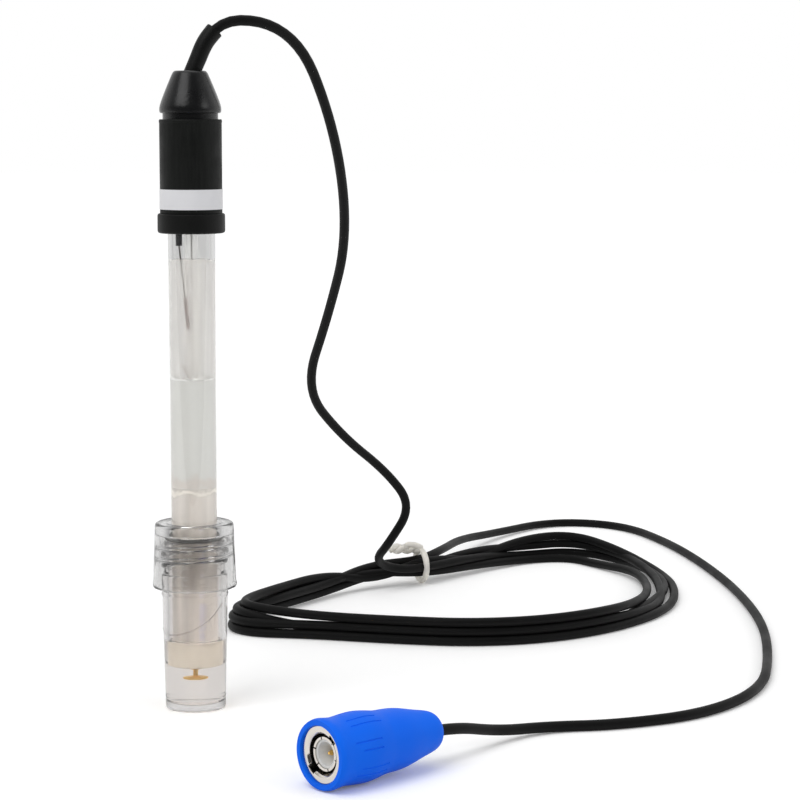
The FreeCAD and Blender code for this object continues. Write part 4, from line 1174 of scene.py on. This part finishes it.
finished_copy("coupling_ring", "lock_ring", 0.10, bright_nickel)
finished_copy("connector_body", "inner_barrel", 0.06, bright_nickel)
finished_copy("outer_contact", "spring_contact", 0.04, bright_nickel)
finished_copy("insulator", "pin_insulator", 0.08, white_insulator)
finished_copy("centre_pin", "gold_pin", 0.05, warm_gold)

# %% [markdown]
# ## The tie
# A plastic-covered wire goes round the hank. Its ring is a plain torus. From a knot on top, two
# long ends are twisted together, and a short one curls up into a loop.

# %% Tie ring
TIE_PLACE = Vector((61.3, 174.2, 6.15))
TIE_ALONG = Vector((9.4, 3.8, 0.0)).normalized()
TIE_RING = 5.05
TIE_WIRE = 1.0

ring_turn = Vector((0, 0, 1)).rotation_difference(TIE_ALONG).to_euler()
bpy.ops.object.select_all(action="DESELECT")
bpy.ops.mesh.primitive_torus_add(
    major_radius=TIE_RING * MM, minor_radius=TIE_WIRE * MM, major_segments=96,
    minor_segments=24, location=TIE_PLACE * MM, rotation=ring_turn)
tie = settle(bpy.context.object)
tie.name = tie.data.name = "tie"
bpy.ops.object.shade_smooth()

# %% Twisted ends
TWIST_REACH = 0.85
STRAND_RADIUS = 1.05
side = Vector((0, 0, 1)).cross(TIE_ALONG).normalized()
knot = TIE_PLACE + Vector((0, 0, TIE_RING + 0.6))


def twisted_end(lean, rise, length, turns, phase):
    """One strand of a twisted pair that leaves the knot, as points in millimetres."""
    heading = (Matrix.Rotation(math.radians(lean), 3, "Z") @ side)
    heading = (heading + Vector((0, 0, rise))).normalized()
    across = heading.cross(Vector((0, 0, 1))).normalized()
    up = across.cross(heading).normalized()
    strand = []
    steps = int(turns * 8)
    for step in range(steps + 1):
        angle = phase + 2 * math.pi * turns * step / steps
        offset = (across * math.cos(angle) + up * math.sin(angle)) * TWIST_REACH
        strand.append(tuple(knot + heading * length * step / steps + offset))
    return strand


LOOP_MIDDLE = Vector((57.4, 173.6, 12.2))
loop_points = [tuple(knot), (60.0, 173.4, 13.0)]
for step in range(11):
    angle = math.radians(70 + 36 * step)
    loop_points.append((LOOP_MIDDLE.x + math.cos(angle), LOOP_MIDDLE.y + 0.12 * step,
                        LOOP_MIDDLE.z + math.sin(angle)))
ends = {
    "long_end_0": twisted_end(62, -0.03, 10.5, 1.6, 0.0),
    "long_end_1": twisted_end(62, -0.03, 10.5, 1.6, math.pi),
    "end_loop": loop_points,
}
for name, points in ends.items():
    strand = curved_rod(name, points, STRAND_RADIUS, sides=6)
    dress(strand, milky_tie)
    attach(strand, "base")
dress(tie, milky_tie)
stands_for(tie, "cord_tie")
print("tie at", [round(part, 1) for part in TIE_PLACE])

# %% [markdown]
# ## The end
# Every piece is made.

print("all pieces are made")
